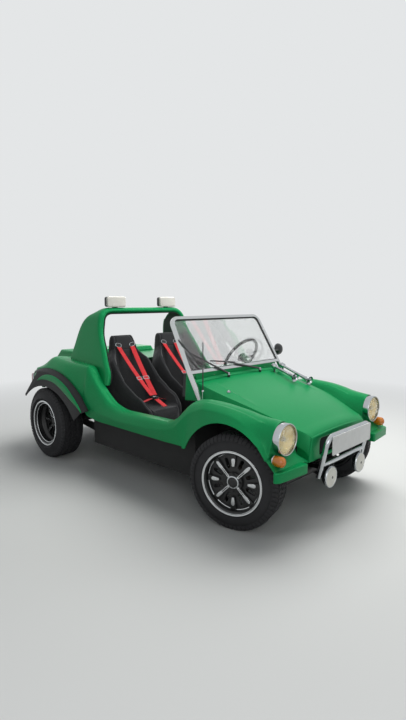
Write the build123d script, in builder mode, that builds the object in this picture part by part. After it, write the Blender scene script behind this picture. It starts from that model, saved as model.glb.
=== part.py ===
"""Open two-seat beach buggy: glass-fibre body on a shortened rear-engined platform."""
import os
from math import cos, radians, sin

from build123d import *

os.makedirs("parts", exist_ok=True)

# Driving dimensions in millimetres. X runs forward, Y to the car's left, Z up from the ground.
wheelbase = 2146
front_axle_x = 1131.5
rear_axle_x = front_axle_x - wheelbase
grp_wall = 8            # moulded glass-fibre panels
steel_wall = 6          # floor tub and bulkheads
fit = 0.3               # clearance of a seated piece
running_gap = 6         # clearance of a turning piece

# Wheels: outer radius, half width of the tyre, half width over the rim lips, depth of the dish.
front_tyre_r, front_tyre_half, front_rim_half, front_dish = 307, 97.5, 87, 44
rear_tyre_r, rear_tyre_half, rear_rim_half, rear_dish = 322, 116, 113, 112
rim_lip_r = 208
bead_r = 190.5
rim_wall = 8
hub_r = 62
kingpin_y = 564
kingpin_to_wheel = 50
steer_at_rest = 14.5    # degrees to the left, as the car is parked
rear_wheel_y = 676

# Body widths and heights.
front_flare_half = 735
rear_fender_half = 800
sill_inner_y = 610
sill_low_z = 445
floor_z = 215
tunnel_half, tunnel_z = 95, 390
cowl_half = 517
front_arch_r, front_arch_z, flare_band = 380, 310, 45
front_well_r = 345
rear_arch_r, rear_arch_z, rear_arch_ahead = 752, 80, 60
rear_inner_y = 535


def across(x):
    """The plane across the car at one X, drawn in Y and Z."""
    return Plane(origin=(x, 0, 0), x_dir=(0, 1, 0), z_dir=(1, 0, 0))


def alongside(y):
    """The plane along the car at one Y, drawn in X and Z; extrusions from it run to the right."""
    return Plane.XZ.offset(-y)


def mirrored(left):
    """The right-hand twin of a left-hand piece."""
    with BuildPart() as right:
        mirror(left.part, about=Plane.XZ)
    return right


def both_sides(left):
    """A left-hand piece and its right-hand twin as one node."""
    with BuildPart() as pair:
        add(left.part)
        mirror(left.part, about=Plane.XZ)
    return pair


# Hood: crowned lid from the cowl to the nose lip, with creased sides that fall to the fenders.
# Columns: X ahead of the front axle, height at the centre, ridge Y and Z, foot Y and Z.
hood_rows = [
    (-466, 872, 488, 858, 517, 725),
    (-250, 815, 472, 800, 512, 705),
    (-30, 762, 450, 745, 490, 675),
    (150, 711, 412, 690, 440, 615),
    (376, 622, 347, 607, 372, 470),
]


def hood_outline(crown_z, ridge_y, ridge_z, foot_y, foot_z, inset=0):
    low = foot_z - inset * 3
    foot, ridge = foot_y - inset, (ridge_y - inset, ridge_z - inset)
    Line((foot, low), ridge)
    ThreePointArc(ridge, (0, crown_z - inset), (-ridge[0], ridge[1]))
    Line((-ridge[0], ridge[1]), (-foot, low))
    Line((-foot, low), (foot, low))


def hood_solid(inset=0):
    with BuildPart() as solid:
        for ahead, *row in hood_rows:
            with BuildSketch(across(front_axle_x + ahead)):
                with BuildLine():
                    hood_outline(*row, inset=inset)
                make_face()
        loft()
    return solid


# Raised wedge at each rear corner of the hood, its base sunk into the panel.
# Columns: X ahead of the front axle, then Y and Z of its inner foot, its peak and its outer foot.
wedge_rows = [
    (-384, 368, 836, 384, 858, 468, 831),
    (6, 376, 733, 384, 739, 420, 730),
]
with BuildPart() as hood_wedge:
    for ahead, *corners in wedge_rows:
        with BuildSketch(across(front_axle_x + ahead)):
            with BuildLine():
                Polyline(*zip(corners[::2], corners[1::2]), close=True)
            make_face()
    loft(ruled=True)

hood_outer = hood_solid()
with BuildPart() as hood:
    add(hood_outer.part)
    add(hood_wedge.part)
    mirror(hood_wedge.part, about=Plane.XZ)
    add(hood_solid(grp_wall).part, mode=Mode.SUBTRACT)

# Front fender: headlamp nacelle, crest over the wheel and a rolled flare.
# Columns: X ahead of the front axle, then Y and Z of foot, valley and crest, how far inboard of the
# flare the crease lies and its Z, and the edge's Z.
fender_rows = [
    (-420, 512, 742, 556, 742, 608, 728, 45, 652, 640),
    (-206, 503, 730, 540, 742, 605, 790, 35, 741, 695),
    (-6, 479, 696, 518, 708, 592, 775, 35, 738, 700),
    (164, 432, 636, 466, 642, 580, 742, 40, 695, 662),
    (284, 396, 574, 445, 580, 572, 742, 45, 592, 573),
    (400, 361, 480, 445, 480, 570, 690, 45, 500, 464),
]
# Side outline of the fender's front: lamp plane, apron under the lamp and the ledge's back.
fender_front = [(319, 900), (319, 526), (386, 468), (386, 383)]
fender_low = 383
toe_x = front_axle_x - 366
shoulder_z = 715        # underside of the fender's shoulder behind the toe board


def fender_outline(foot_y, foot_z, valley_y, valley_z, crest_y, crest_z, crease_in, crease_z, edge_z,
                   inset=0):
    low = fender_low - inset * 3
    edge_y = front_flare_half - inset
    foot = (foot_y + inset * 2, foot_z - inset)
    valley = (valley_y, valley_z - inset)
    crease = (front_flare_half - crease_in - inset, crease_z - inset)
    Line((foot[0], low), foot)
    Line(foot, valley)
    ThreePointArc(valley, (crest_y, crest_z - inset), crease)
    Line(crease, (edge_y, edge_z - inset))
    Line((edge_y, edge_z - inset), (edge_y, low))
    Line((edge_y, low), (foot[0], low))


def fender_solid(inset=0):
    with BuildPart() as solid:
        for ahead, *row in fender_rows:
            with BuildSketch(across(front_axle_x + ahead)):
                with BuildLine():
                    fender_outline(*row, inset=inset)
                make_face()
        loft()
        back = front_axle_x + fender_rows[0][0] + inset
        nose = [(front_axle_x + ahead - inset, z) for ahead, z in fender_front]
        nose[-1] = (nose[-1][0], nose[-1][1] - inset * 4)
        with BuildSketch(alongside(front_flare_half + 50)):
            with BuildLine():
                Polyline((back, nose[0][1]), *nose, (back, nose[-1][1]), close=True)
            make_face()
        extrude(amount=front_flare_half, mode=Mode.INTERSECT)
    return solid


# The ledge under the lamps: Y and X ahead of the axle for its outer and inner front corners.
ledge_outer, ledge_inner = (front_flare_half - 2, 408), (450, 430)
ledge_back, ledge_top, ledge_low = 386, 468, 383

fender_outer = fender_solid()
with BuildPart() as front_fender_left:
    add(fender_outer.part)
    add(fender_solid(grp_wall).part, mode=Mode.SUBTRACT)
    for radius, reach in ((front_arch_r, flare_band), (front_well_r, front_flare_half - 370)):
        with BuildSketch(alongside(front_flare_half)):
            with Locations((front_axle_x + 10, front_arch_z)):
                Circle(radius)
        extrude(amount=reach, mode=Mode.SUBTRACT)
    with BuildSketch(Plane.XY.offset(ledge_low)):
        with BuildLine():
            Polyline(
                (front_axle_x + ledge_back, ledge_outer[0]),
                (front_axle_x + ledge_outer[1], ledge_outer[0]),
                (front_axle_x + ledge_inner[1], ledge_inner[0]),
                (front_axle_x + ledge_back, ledge_inner[0]),
                close=True,
            )
        make_face()
    extrude(amount=ledge_top - ledge_low)
    with BuildSketch(Plane.XY.offset(fender_low)):
        with BuildLine():
            Polyline((toe_x, 0), (toe_x, sill_inner_y), (toe_x - 100, sill_inner_y), (toe_x - 100, 0),
                     close=True)
        make_face()
    extrude(amount=shoulder_z - fender_low, mode=Mode.SUBTRACT)
    add(hood_outer.part, mode=Mode.SUBTRACT)
front_fender_right = mirrored(front_fender_left)

# Nose panel: closes the hood's front end, with the wide rectangular recess.
nose_x = front_axle_x + hood_rows[-1][0]
nose_low = 440
recess_half, recess_low, recess_top = 250, 462, 572
with BuildPart() as nose_panel:
    with BuildSketch(across(nose_x)):
        with BuildLine():
            crown_z, ridge_y, ridge_z, foot_y, foot_z = hood_rows[-1][1:]
            Polyline((-ridge_y, ridge_z), (-foot_y, foot_z), (-foot_y, nose_low), (foot_y, nose_low),
                     (foot_y, foot_z), (ridge_y, ridge_z))
            ThreePointArc((ridge_y, ridge_z), (0, crown_z), (-ridge_y, ridge_z))
        make_face()
        with Locations((0, (recess_low + recess_top) / 2)):
            RectangleRounded(recess_half * 2, recess_top - recess_low, 18, mode=Mode.SUBTRACT)
    extrude(amount=grp_wall)
    add(fender_outer.part, mode=Mode.SUBTRACT)
    add(mirrored(fender_outer).part, mode=Mode.SUBTRACT)

# Front tub: the black box under the hood that carries the tank, seen through the recess.
front_tub_half, front_tub_low, front_tub_top = 355, 440, 560
with BuildPart() as front_tub:
    with BuildSketch(Plane.XY.offset(front_tub_low)):
        with BuildLine():
            Polyline((toe_x, -front_tub_half), (nose_x - 60, -front_tub_half),
                     (nose_x - 60, front_tub_half), (toe_x, front_tub_half), close=True)
        make_face()
    extrude(amount=front_tub_top - front_tub_low)
    front_tub_lid = front_tub.faces().sort_by(Axis.Z)[-1]
    offset(amount=-steel_wall, openings=front_tub_lid)

# Body side: sill and cut-down side between the fenders, as thick as the whole wall.
side_front_x = front_axle_x + fender_rows[0][0]
side_rear_x = rear_axle_x + 580
with BuildPart() as body_side_left:
    with BuildSketch(alongside(front_flare_half)):
        with BuildLine():
            rise = Line((side_front_x, sill_low_z), (side_front_x, 650))
            dip = TangentArc(rise @ 1, (front_axle_x - 560, 600), tangent=(-1, -0.78))
            floor_line = Line(dip @ 1, (rear_axle_x + 1080, 588))
            sweep_up = ThreePointArc(floor_line @ 1, (rear_axle_x + 926, 616), (rear_axle_x + 744, 739))
            Polyline(sweep_up @ 1, (rear_axle_x + 610, 893), (side_rear_x, 893),
                     (side_rear_x, sill_low_z), (side_front_x, sill_low_z))
        make_face()
    extrude(amount=front_flare_half - sill_inner_y)
    outer = body_side_left.faces().filter_by(Axis.Y).sort_by(Axis.Y)[-1]
    opening_edges = outer.edges().filter_by(lambda e: 560 < e.center().Z < 880
                                            and side_rear_x + 5 < e.center().X < side_front_x - 5)
    chamfer(opening_edges, length=34)
    chamfer(body_side_left.edges().filter_by(Axis.X).sort_by(Axis.Z)[:2].sort_by(Axis.Y)[-1], length=40)
body_side_right = mirrored(body_side_left)

# Rear fender: tall haunch from the hoop to the tail.
# Columns: X ahead of the rear axle, deck Y and Z, crest Y and Z, how far inboard of the fender's half
# width the crease lies and its Z.
haunch_rows = [
    (580, 560, 870, 682, 898, 60, 640),
    (430, 535, 890, 682, 903, 52, 756),
    (280, 535, 904, 682, 909, 50, 822),
    (137, 535, 914, 680, 922, 50, 838),
    (20, 535, 920, 674, 930, 50, 836),
    (-120, 535, 878, 662, 872, 56, 820),
    (-270, 535, 828, 642, 816, 94, 798),
    (-400, 535, 785, 618, 778, 130, 748),
]
tail_low_z, tail_cut_ahead = 575, -340


belly_out = 8           # how far the haunch bulges between crest and crease


def haunch_outline(deck_y, deck_z, crest_y, crest_z, crease_in, crease_z, inset=0):
    low = sill_low_z - inset * 3
    deck = (deck_y + inset, deck_z - inset)
    crest = (crest_y - inset / 2, crest_z - inset)
    crease = (rear_fender_half - crease_in - inset, crease_z - inset)
    belly = ((crest[0] + crease[0]) / 2 + belly_out, (crest[1] + crease[1]) / 2 + belly_out)
    Line((deck[0], low), deck)
    Line(deck, crest)
    ThreePointArc(crest, belly, crease)
    Line(crease, (crease[0], low))
    Line((crease[0], low), (deck[0], low))


def haunch_solid(inset=0):
    with BuildPart() as solid:
        for ahead, *row in haunch_rows:
            end_wall = inset if ahead == haunch_rows[-1][0] else 0
            with BuildSketch(across(rear_axle_x + ahead + end_wall)):
                with BuildLine():
                    haunch_outline(*row, inset=inset)
                make_face()
        loft()
    return solid


haunch_outer = haunch_solid()
with BuildPart() as rear_fender_left:
    add(haunch_outer.part)
    add(haunch_solid(grp_wall).part, mode=Mode.SUBTRACT)
    with BuildSketch(alongside(rear_fender_half + 50)):
        with Locations((rear_axle_x + rear_arch_ahead, rear_arch_z)):
            Circle(rear_arch_r)
    extrude(amount=rear_fender_half + 50 - 600, mode=Mode.SUBTRACT)
    with BuildSketch(alongside(rear_fender_half + 50)):
        with BuildLine():
            cut_front, cut_rear = rear_axle_x + tail_cut_ahead, rear_axle_x - 600
            Polyline((cut_front, sill_low_z - 50), (cut_front, tail_low_z),
                     (cut_rear, tail_low_z), (cut_rear, sill_low_z - 50), close=True)
        make_face()
    extrude(amount=rear_fender_half, mode=Mode.SUBTRACT)
rear_fender_right = mirrored(rear_fender_left)

# Rear deck between the fenders, and the tail panel that it turns down into.
# Columns: X ahead of the rear axle, Z of the deck's top.
deck_rows = [(440, 892), (280, 904), (137, 914), (20, 920), (-120, 878), (-270, 828), (-400, 785)]
tail_x = rear_axle_x + haunch_rows[-1][0]


def deck_line(drop):
    return [(rear_axle_x + ahead, z - drop) for ahead, z in deck_rows]


with BuildPart() as rear_deck:
    with BuildSketch(alongside(rear_inner_y)):
        with BuildLine():
            top, under = deck_line(0), deck_line(grp_wall)
            Polyline(*top, (tail_x, tail_low_z), (tail_x + grp_wall, tail_low_z),
                     (tail_x + grp_wall, under[-1][1]), *reversed(under[:-1]), close=True)
        make_face()
    extrude(amount=rear_inner_y * 2)
    add(haunch_outer.part, mode=Mode.SUBTRACT)
    add(mirrored(haunch_outer).part, mode=Mode.SUBTRACT)

# Engine cover: the raised lid on the tail. Its side outline is X ahead of the rear axle and Z.
cover_half, cover_top, cover_round = 470, 962, 24
cover_front, cover_rear, cover_foot_z = 70, -330, 760
cover_line = [(cover_front, 925), (cover_front - 30, cover_top), (cover_rear + 90, cover_top),
              (cover_rear + 18, 900)]
with BuildPart() as cover_outer:
    with BuildSketch(alongside(cover_half)):
        with BuildLine():
            Polyline(*[(rear_axle_x + ahead, z) for ahead, z in
                       [(cover_front, cover_foot_z), *cover_line, (cover_rear, cover_foot_z)]], close=True)
        make_face()
    extrude(amount=cover_half * 2)
    fillet(cover_outer.edges().filter_by(lambda e: abs(e.center().Y) > cover_half - 1
                                         and e.center().Z > 890), radius=cover_round)
with BuildPart() as engine_cover:
    add(cover_outer.part)
    with BuildSketch(alongside(cover_half - grp_wall)):
        with BuildLine():
            Polyline((rear_axle_x + cover_front - grp_wall, cover_foot_z - 1),
                     (rear_axle_x + cover_front - grp_wall, 925 - grp_wall / 2),
                     (rear_axle_x + cover_front - 30 - grp_wall / 2, cover_top - grp_wall),
                     (rear_axle_x + cover_rear + 90 + grp_wall / 2, cover_top - grp_wall),
                     (rear_axle_x + cover_rear + 18 + grp_wall, 900 - grp_wall / 2),
                     (rear_axle_x + cover_rear + grp_wall, cover_foot_z - 1), close=True)
        make_face()
    extrude(amount=(cover_half - grp_wall) * 2, mode=Mode.SUBTRACT)
    with BuildSketch(alongside(cover_half + 20)):
        with BuildLine():
            Polyline(*deck_line(0), (tail_x - 20, deck_rows[-1][1] - 5), (tail_x - 20, 700),
                     (rear_axle_x + deck_rows[0][0], 700), close=True)
        make_face()
    extrude(amount=(cover_half + 20) * 2, mode=Mode.SUBTRACT)

# Hoop: the roll-over arch behind the seats, whose sides widen downward as fins.
hoop_wall = 50
hoop_top, hoop_top_half, hoop_foot_half, hoop_foot_z = 1378, 492, 628, 740
# Side outline of the hoop: X ahead of the rear axle and Z, front edge downward, rear edge upward.
hoop_front = [(436, 1378), (508, 1378), (524, 1330), (538, 1260), (545, 1215), (576, 1139), (620, 1070),
              (664, 992), (708, 915), (752, 850), (768, 800), (770, 742)]
hoop_rear = [(125, 742), (130, 860), (144, 920), (166, 988), (192, 1077), (211, 1154), (235, 1210),
             (270, 1265), (323, 1320), (390, 1358)]
with BuildPart() as hoop:
    with BuildSketch(across(rear_axle_x - 120)):
        with BuildLine():
            Polyline((-hoop_foot_half, hoop_foot_z), (-hoop_top_half, hoop_top),
                     (hoop_top_half, hoop_top), (hoop_foot_half, hoop_foot_z), close=True)
        arch = make_face()
        fillet(arch.vertices().group_by(Axis.Y)[-1], radius=110)
        with BuildLine():
            Polyline((-hoop_foot_half + hoop_wall, hoop_foot_z - 5),
                     (-hoop_top_half + hoop_wall, hoop_top - hoop_wall),
                     (hoop_top_half - hoop_wall, hoop_top - hoop_wall),
                     (hoop_foot_half - hoop_wall, hoop_foot_z - 5), close=True)
        make_face(mode=Mode.SUBTRACT)
    extrude(amount=900)
    with BuildSketch(alongside(hoop_foot_half + 20)):
        with BuildLine():
            Polyline(*[(rear_axle_x + ahead, z) for ahead, z in hoop_front + hoop_rear], close=True)
        make_face()
    extrude(amount=(hoop_foot_half + 20) * 2, mode=Mode.INTERSECT)
    add(haunch_outer.part, mode=Mode.SUBTRACT)
    add(mirrored(haunch_outer).part, mode=Mode.SUBTRACT)
    with BuildSketch(alongside(hoop_foot_half + 20)):
        with BuildLine():
            Polyline(*deck_line(0), (tail_x, 700), (rear_axle_x + deck_rows[0][0], 700), close=True)
        make_face()
    extrude(amount=(hoop_foot_half + 20) * 2, mode=Mode.SUBTRACT)
    add(body_side_left.part, mode=Mode.SUBTRACT)
    add(body_side_right.part, mode=Mode.SUBTRACT)

# Scuttle: the cowl behind the hood that rises to the foot of the windscreen.
scuttle_front_x = front_axle_x + hood_rows[0][0]
scuttle_rear_x = front_axle_x - 540
scuttle_rear = (932, 500, 918, cowl_half, 725)


def scuttle_solid(inset=0):
    with BuildPart() as solid:
        for x, row in ((scuttle_front_x, hood_rows[0][1:]), (scuttle_rear_x, scuttle_rear)):
            with BuildSketch(across(x)):
                with BuildLine():
                    hood_outline(*row, inset=inset)
                make_face()
        loft()
    return solid


scuttle_outer = scuttle_solid()
with BuildPart() as scuttle:
    add(scuttle_outer.part)
    add(scuttle_solid(grp_wall).part, mode=Mode.SUBTRACT)

# Windscreen: a channel frame that leans back, with legs down to the fenders, and flat glass.
screen_foot = (front_axle_x - 497, 0, 927)
screen_rise = (-222, 379)
screen_height = (screen_rise[0] ** 2 + screen_rise[1] ** 2) ** 0.5
screen_plane = Plane(origin=screen_foot, x_dir=(0, 1, 0), z_dir=(screen_rise[1], 0, -screen_rise[0]))
screen_foot_half, screen_top_half = 545, 521
frame_width, frame_depth, leg_length = 24, 24, 230
glass_thick = 5


def screen_outline(inset):
    Polyline((-screen_foot_half + inset, inset - 12), (screen_foot_half - inset, inset - 12),
             (screen_top_half - inset, screen_height + 12 - inset),
             (-screen_top_half + inset, screen_height + 12 - inset), close=True)


with BuildPart() as windscreen_frame:
    with BuildSketch(screen_plane.offset(-frame_depth / 2)):
        with BuildLine():
            screen_outline(0)
        outer_frame = make_face()
        fillet(outer_frame.vertices().group_by(Axis.Y)[-1], radius=70)
    extrude(amount=frame_depth)
    with BuildSketch(screen_plane.offset(-frame_depth / 2)):
        with BuildLine():
            screen_outline(frame_width)
        inner_frame = make_face()
        fillet(inner_frame.vertices().group_by(Axis.Y)[-1], radius=48)
    extrude(amount=frame_depth, mode=Mode.SUBTRACT)
    with BuildSketch(screen_plane.offset(-frame_depth / 2)):
        with Locations(*[(side * (screen_foot_half - frame_width / 2), -leg_length / 2 - 10)
                         for side in (-1, 1)]):
            Rectangle(frame_width, leg_length)
    extrude(amount=frame_depth)
    add(fender_outer.part, mode=Mode.SUBTRACT)
    add(mirrored(fender_outer).part, mode=Mode.SUBTRACT)

# Rubber seal between the frame's lower rail and the scuttle.
seal_half, seal_depth, seal_low = 480, 16, 850
rail_back, rail_front = [screen_plane.from_local_coords((0, -12, depth))
                         for depth in (-seal_depth / 2, seal_depth / 2)]
with BuildPart() as screen_seal:
    with BuildSketch(alongside(seal_half)):
        with BuildLine():
            Polyline((rail_back.X, rail_back.Z), (rail_front.X, rail_front.Z), (rail_front.X, seal_low),
                     (rail_back.X, seal_low), close=True)
        make_face()
    extrude(amount=seal_half * 2)
    add(scuttle_outer.part, mode=Mode.SUBTRACT)

with BuildPart() as windscreen_glass:
    with BuildSketch(screen_plane.offset(-glass_thick / 2)):
        with BuildLine():
            screen_outline(frame_width + fit)
        pane = make_face()
        fillet(pane.vertices().group_by(Axis.Y)[-1], radius=48)
    extrude(amount=glass_thick)

# Dashboard: padded panel that closes the scuttle's rear end, with the column's hole.
dash_thick, dash_low, dash_lap = 55, 745, 3
with BuildPart() as dashboard:
    with BuildSketch(across(scuttle_rear_x - dash_thick)):
        with BuildLine():
            hood_outline(*scuttle_rear, inset=dash_lap)
        make_face()
        with Locations((0, dash_low)):
            Rectangle(cowl_half * 2, 100, align=(Align.CENTER, Align.MAX), mode=Mode.SUBTRACT)
    extrude(amount=dash_thick)

# Seats: moulded buckets with side bolsters and a headrest.
seat_y, seat_half, seat_low = 268, 236, 330
rail_rear_x, rail_front_x, rail_spread, rail_width = rear_axle_x + 640, rear_axle_x + 1090, 120, 30
# Side outline of one bucket and of its bolsters: X ahead of the rear axle and Z.
seat_profile = [(1120, seat_low), (1130, 480), (1095, 545), (760, 500), (680, 560), (610, 800),
                (548, 1050), (510, 1150), (450, 1150), (440, 1050), (520, 700), (590, seat_low)]
bolster_profile = [(1120, 400), (1110, 560), (1040, 640), (940, 680), (770, 795), (640, 940), (560, 985),
                   (490, 960), (540, 700), (600, 400)]
bolster_width = 56
# Front outline of one bucket: half width and Z.
seat_front_view = [(160, seat_low - 10), (168, 400), (222, 600), (seat_half, 700), (seat_half, 900),
                   (150, 1010), (112, 1152)]

# Floor tub: floor with its centre tunnel, low side walls, toe board and seat rails.
bulkhead_foot_x = rear_axle_x + 540
bulkhead_top_x, bulkhead_top_z = rear_axle_x + deck_rows[0][0] + steel_wall, 870
tub_half = sill_inner_y - fit
with BuildPart() as floor_tub:
    with BuildSketch(across(bulkhead_foot_x)):
        with BuildLine():
            wall, slab = steel_wall, floor_z + steel_wall
            Polyline((-tub_half, floor_z), (-tunnel_half, floor_z), (-tunnel_half + 12, tunnel_z - wall),
                     (tunnel_half - 12, tunnel_z - wall), (tunnel_half, floor_z), (tub_half, floor_z),
                     (tub_half, 560), (tub_half - wall, 560), (tub_half - wall, slab),
                     (tunnel_half + wall, slab), (tunnel_half - 12 + wall, tunnel_z),
                     (-tunnel_half + 12 - wall, tunnel_z), (-tunnel_half - wall, slab),
                     (-tub_half + wall, slab), (-tub_half + wall, 560), (-tub_half, 560), close=True)
        make_face()
    extrude(amount=toe_x - bulkhead_foot_x)
    with BuildSketch(across(toe_x - steel_wall)):
        with BuildLine():
            Polyline((-tub_half, floor_z), (tub_half, floor_z), (tub_half, 690), (515, 702),
                     (495, 708), (465, 806), (-465, 806), (-495, 708), (-515, 702), (-tub_half, 690),
                     close=True)
        make_face()
    extrude(amount=steel_wall)
    with BuildSketch(Plane.XY.offset(slab)):
        with Locations(*[((rail_rear_x + rail_front_x) / 2, side * (seat_y + rail_side * rail_spread))
                         for side in (-1, 1) for rail_side in (-1, 1)]):
            Rectangle(rail_front_x - rail_rear_x, rail_width)
    extrude(amount=seat_low - fit - slab)

with BuildPart() as rear_bulkhead:
    with BuildSketch(alongside(rear_inner_y - fit)):
        with BuildLine():
            Polyline((bulkhead_foot_x, floor_z), (bulkhead_foot_x - steel_wall, floor_z),
                     (bulkhead_top_x - steel_wall, bulkhead_top_z), (bulkhead_top_x, bulkhead_top_z),
                     close=True)
        make_face()
    extrude(amount=(rear_inner_y - fit) * 2)

with BuildPart() as seat_left:
    with BuildSketch(alongside(seat_y + seat_half)):
        with BuildLine():
            Polyline(*[(rear_axle_x + ahead, z) for ahead, z in seat_profile], close=True)
        make_face()
    extrude(amount=seat_half * 2)
    for side in (-1, 1):
        edge_y = seat_half - bolster_width / 2
        with BuildSketch(alongside(seat_y + side * edge_y + bolster_width / 2)):
            with BuildLine():
                Polyline(*[(rear_axle_x + ahead, z) for ahead, z in bolster_profile], close=True)
            make_face()
        extrude(amount=bolster_width)
    with BuildSketch(across(rear_axle_x + 300)):
        with BuildLine():
            Polyline(*[(seat_y - half, z) for half, z in seat_front_view],
                     *[(seat_y + half, z) for half, z in reversed(seat_front_view)], close=True)
        make_face()
    extrude(amount=900, mode=Mode.INTERSECT)
seat_right = mirrored(seat_left)

# Harness on each seat: two shoulder straps, two lap straps and a crotch strap that meet at a buckle.
strap_width, strap_thick = 46, 3
buckle_at = (945, seat_y, 616)
buckle_size, buckle_thick = 64, 26
# Far end of each strap: X ahead of the rear axle, Y from the seat's middle, Z.
strap_ends = [(546, 76, 1040), (546, -76, 1040), (905, 150, 572), (905, -150, 572), (1088, 0, 566)]
with BuildPart() as harness_left:
    with Locations((rear_axle_x + buckle_at[0], buckle_at[1], buckle_at[2])):
        Box(buckle_size, buckle_size, buckle_thick)
    for ahead, off_y, z in strap_ends:
        start = Vector(rear_axle_x + buckle_at[0], buckle_at[1], buckle_at[2])
        run = Vector(rear_axle_x + ahead, seat_y + off_y, z) - start
        across_strap = run.cross(Vector(0, 0, 1)).normalized()
        with BuildSketch(Plane(origin=start, x_dir=across_strap, z_dir=run)):
            Rectangle(strap_width, strap_thick)
        extrude(amount=run.length)
    add(seat_left.part, mode=Mode.SUBTRACT)
harnesses = both_sides(harness_left)

# Front axle: two torsion tubes, end plates and trailing arms that end at the kingpins.
beam_x = front_axle_x + 140
beam_tube_r, beam_low_z, beam_high_z = 30, 235, 385
beam_half = 395
kingpin_r, carrier_r = 10, 24
knuckle_low, knuckle_high = 262, 352
stub_r = 17
disc_thick = 14
stub_length = kingpin_to_wheel + front_rim_half - front_dish - disc_thick - running_gap
with BuildPart() as front_beam:
    with BuildSketch(across(toe_x)):
        with Locations((0, (beam_low_z + beam_high_z) / 2)):
            Rectangle(200, 120)
    extrude(amount=beam_x - toe_x)
    for z in (beam_low_z, beam_high_z):
        with BuildSketch(alongside(beam_half)):
            with Locations((beam_x, z)):
                Circle(beam_tube_r)
        extrude(amount=beam_half * 2)
    for side in (-1, 1):
        with BuildSketch(alongside(side * (beam_half - 60) + 6)):
            with Locations((beam_x, (beam_low_z + beam_high_z) / 2)):
                RectangleRounded(70, 250, 20)
        extrude(amount=12)
        for z in (beam_low_z, beam_high_z):
            arm_y = beam_half + 10
            with BuildSketch(Plane.XY.offset(z - 14)):
                with BuildLine():
                    Polyline((beam_x + 20, side * (arm_y - 12)), (beam_x + 20, side * (arm_y + 12)),
                             (front_axle_x + 22, side * (arm_y + 24)),
                             (front_axle_x + 22, side * kingpin_y), (front_axle_x - 22, side * kingpin_y),
                             (front_axle_x - 22, side * (arm_y - 12)), close=True)
                make_face()
                with Locations((front_axle_x, side * kingpin_y)):
                    Circle(carrier_r)
            extrude(amount=28)
        with BuildSketch(Plane.XY.offset(beam_low_z)):
            with Locations((front_axle_x, side * kingpin_y)):
                Circle(kingpin_r)
        extrude(amount=beam_high_z - beam_low_z)

# Front wheel places: the wheel turns about the kingpin, here turned as it is parked.
steer = radians(steer_at_rest)


def wheel_plane(side):
    """The mid plane of a front wheel, its Z pointing outboard."""
    out = (-side * sin(steer), side * cos(steer), 0)
    origin = (front_axle_x + out[0] * kingpin_to_wheel,
              side * kingpin_y + out[1] * kingpin_to_wheel, front_tyre_r)
    return Plane(origin=origin, x_dir=(0, 0, 1), z_dir=out)


# Knuckle: boss on the kingpin, stub axle, brake back plate and steering arm.
knuckles = {}
for side_name, side in (("left", 1), ("right", -1)):
    plane = wheel_plane(side)
    with BuildPart() as knuckle:
        with BuildSketch(Plane.XY.offset(knuckle_low)):
            with Locations((front_axle_x, side * kingpin_y)):
                Circle(26)
        extrude(amount=knuckle_high - knuckle_low)
        with BuildSketch(plane.offset(-kingpin_to_wheel)):
            Circle(stub_r)
        extrude(amount=stub_length)
        with BuildSketch(plane.offset(-kingpin_to_wheel - 20)):
            with Locations((0, 0)):
                Rectangle(30, 30)
        extrude(amount=20)
        with BuildSketch(Plane.XY.offset(knuckle_low)):
            with BuildLine():
                back = (-cos(steer), -sin(steer))
                inboard = (side * sin(steer), -side * cos(steer))
                corners = [(0, -14), (0, 14), (120, 34), (120, 10)]
                Polyline(*[(front_axle_x + back[0] * u + inboard[0] * v,
                            side * kingpin_y + back[1] * u + inboard[1] * v) for u, v in corners],
                         close=True)
            make_face()
        extrude(amount=16)
        with BuildSketch(Plane.XY.offset(knuckle_low - 1)):
            with Locations((front_axle_x, side * kingpin_y)):
                Circle(kingpin_r + fit)
        extrude(amount=knuckle_high - knuckle_low + 2, mode=Mode.SUBTRACT)
    knuckles[side_name] = knuckle

# Rims: barrel with two lips, disc with eight raised spokes, and windows between them.
spoke_count = 8
spoke_height = 14
drum_r, drum_depth = 96, 30


seat_r = bead_r + 2     # where the tyre's beads sit


def make_rim(half, dish):
    face_z = half - dish
    with BuildPart() as rim:
        with BuildSketch(Plane.XZ):
            with BuildLine():
                Polyline(
                    (rim_lip_r, half), (rim_lip_r, half - 6), (seat_r, half - 10), (seat_r, half - 34),
                    (bead_r, 40), (168, 22), (168, -22), (bead_r, -44), (seat_r, -half + 34),
                    (seat_r, -half + 10),
                    (rim_lip_r, -half + 6), (rim_lip_r, -half), (bead_r + 4, -half),
                    (bead_r - rim_wall, -half + 14), (bead_r - rim_wall, -44), (160, -24), (160, 24),
                    (bead_r - rim_wall, 44), (bead_r - rim_wall, half - 14), (bead_r + 4, half),
                    close=True)
            make_face()
        revolve(axis=Axis.Z)
        with BuildSketch(Plane.XY.offset(face_z - disc_thick)):
            Circle(bead_r - rim_wall + 2 if abs(face_z - 7) > 30 else 166)
            with PolarLocations(122, spoke_count, start_angle=180 / spoke_count):
                SlotCenterToCenter(44, 24, mode=Mode.SUBTRACT)
        extrude(amount=disc_thick)
        with BuildSketch(Plane.XY.offset(face_z)):
            for first, inner_r in ((45, hub_r - 6), (0, 104)):
                with PolarLocations(0, spoke_count // 2, start_angle=first):
                    with BuildLine():
                        Polyline((inner_r, -9), (160, -15), (160, 15), (inner_r, 9), close=True)
                    make_face()
            Circle(hub_r)
        extrude(amount=spoke_height)
        with BuildSketch(Plane.XY.offset(face_z - disc_thick - drum_depth)):
            Circle(drum_r)
            Circle(stub_r + fit, mode=Mode.SUBTRACT)
        extrude(amount=drum_depth)
    return rim


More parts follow.
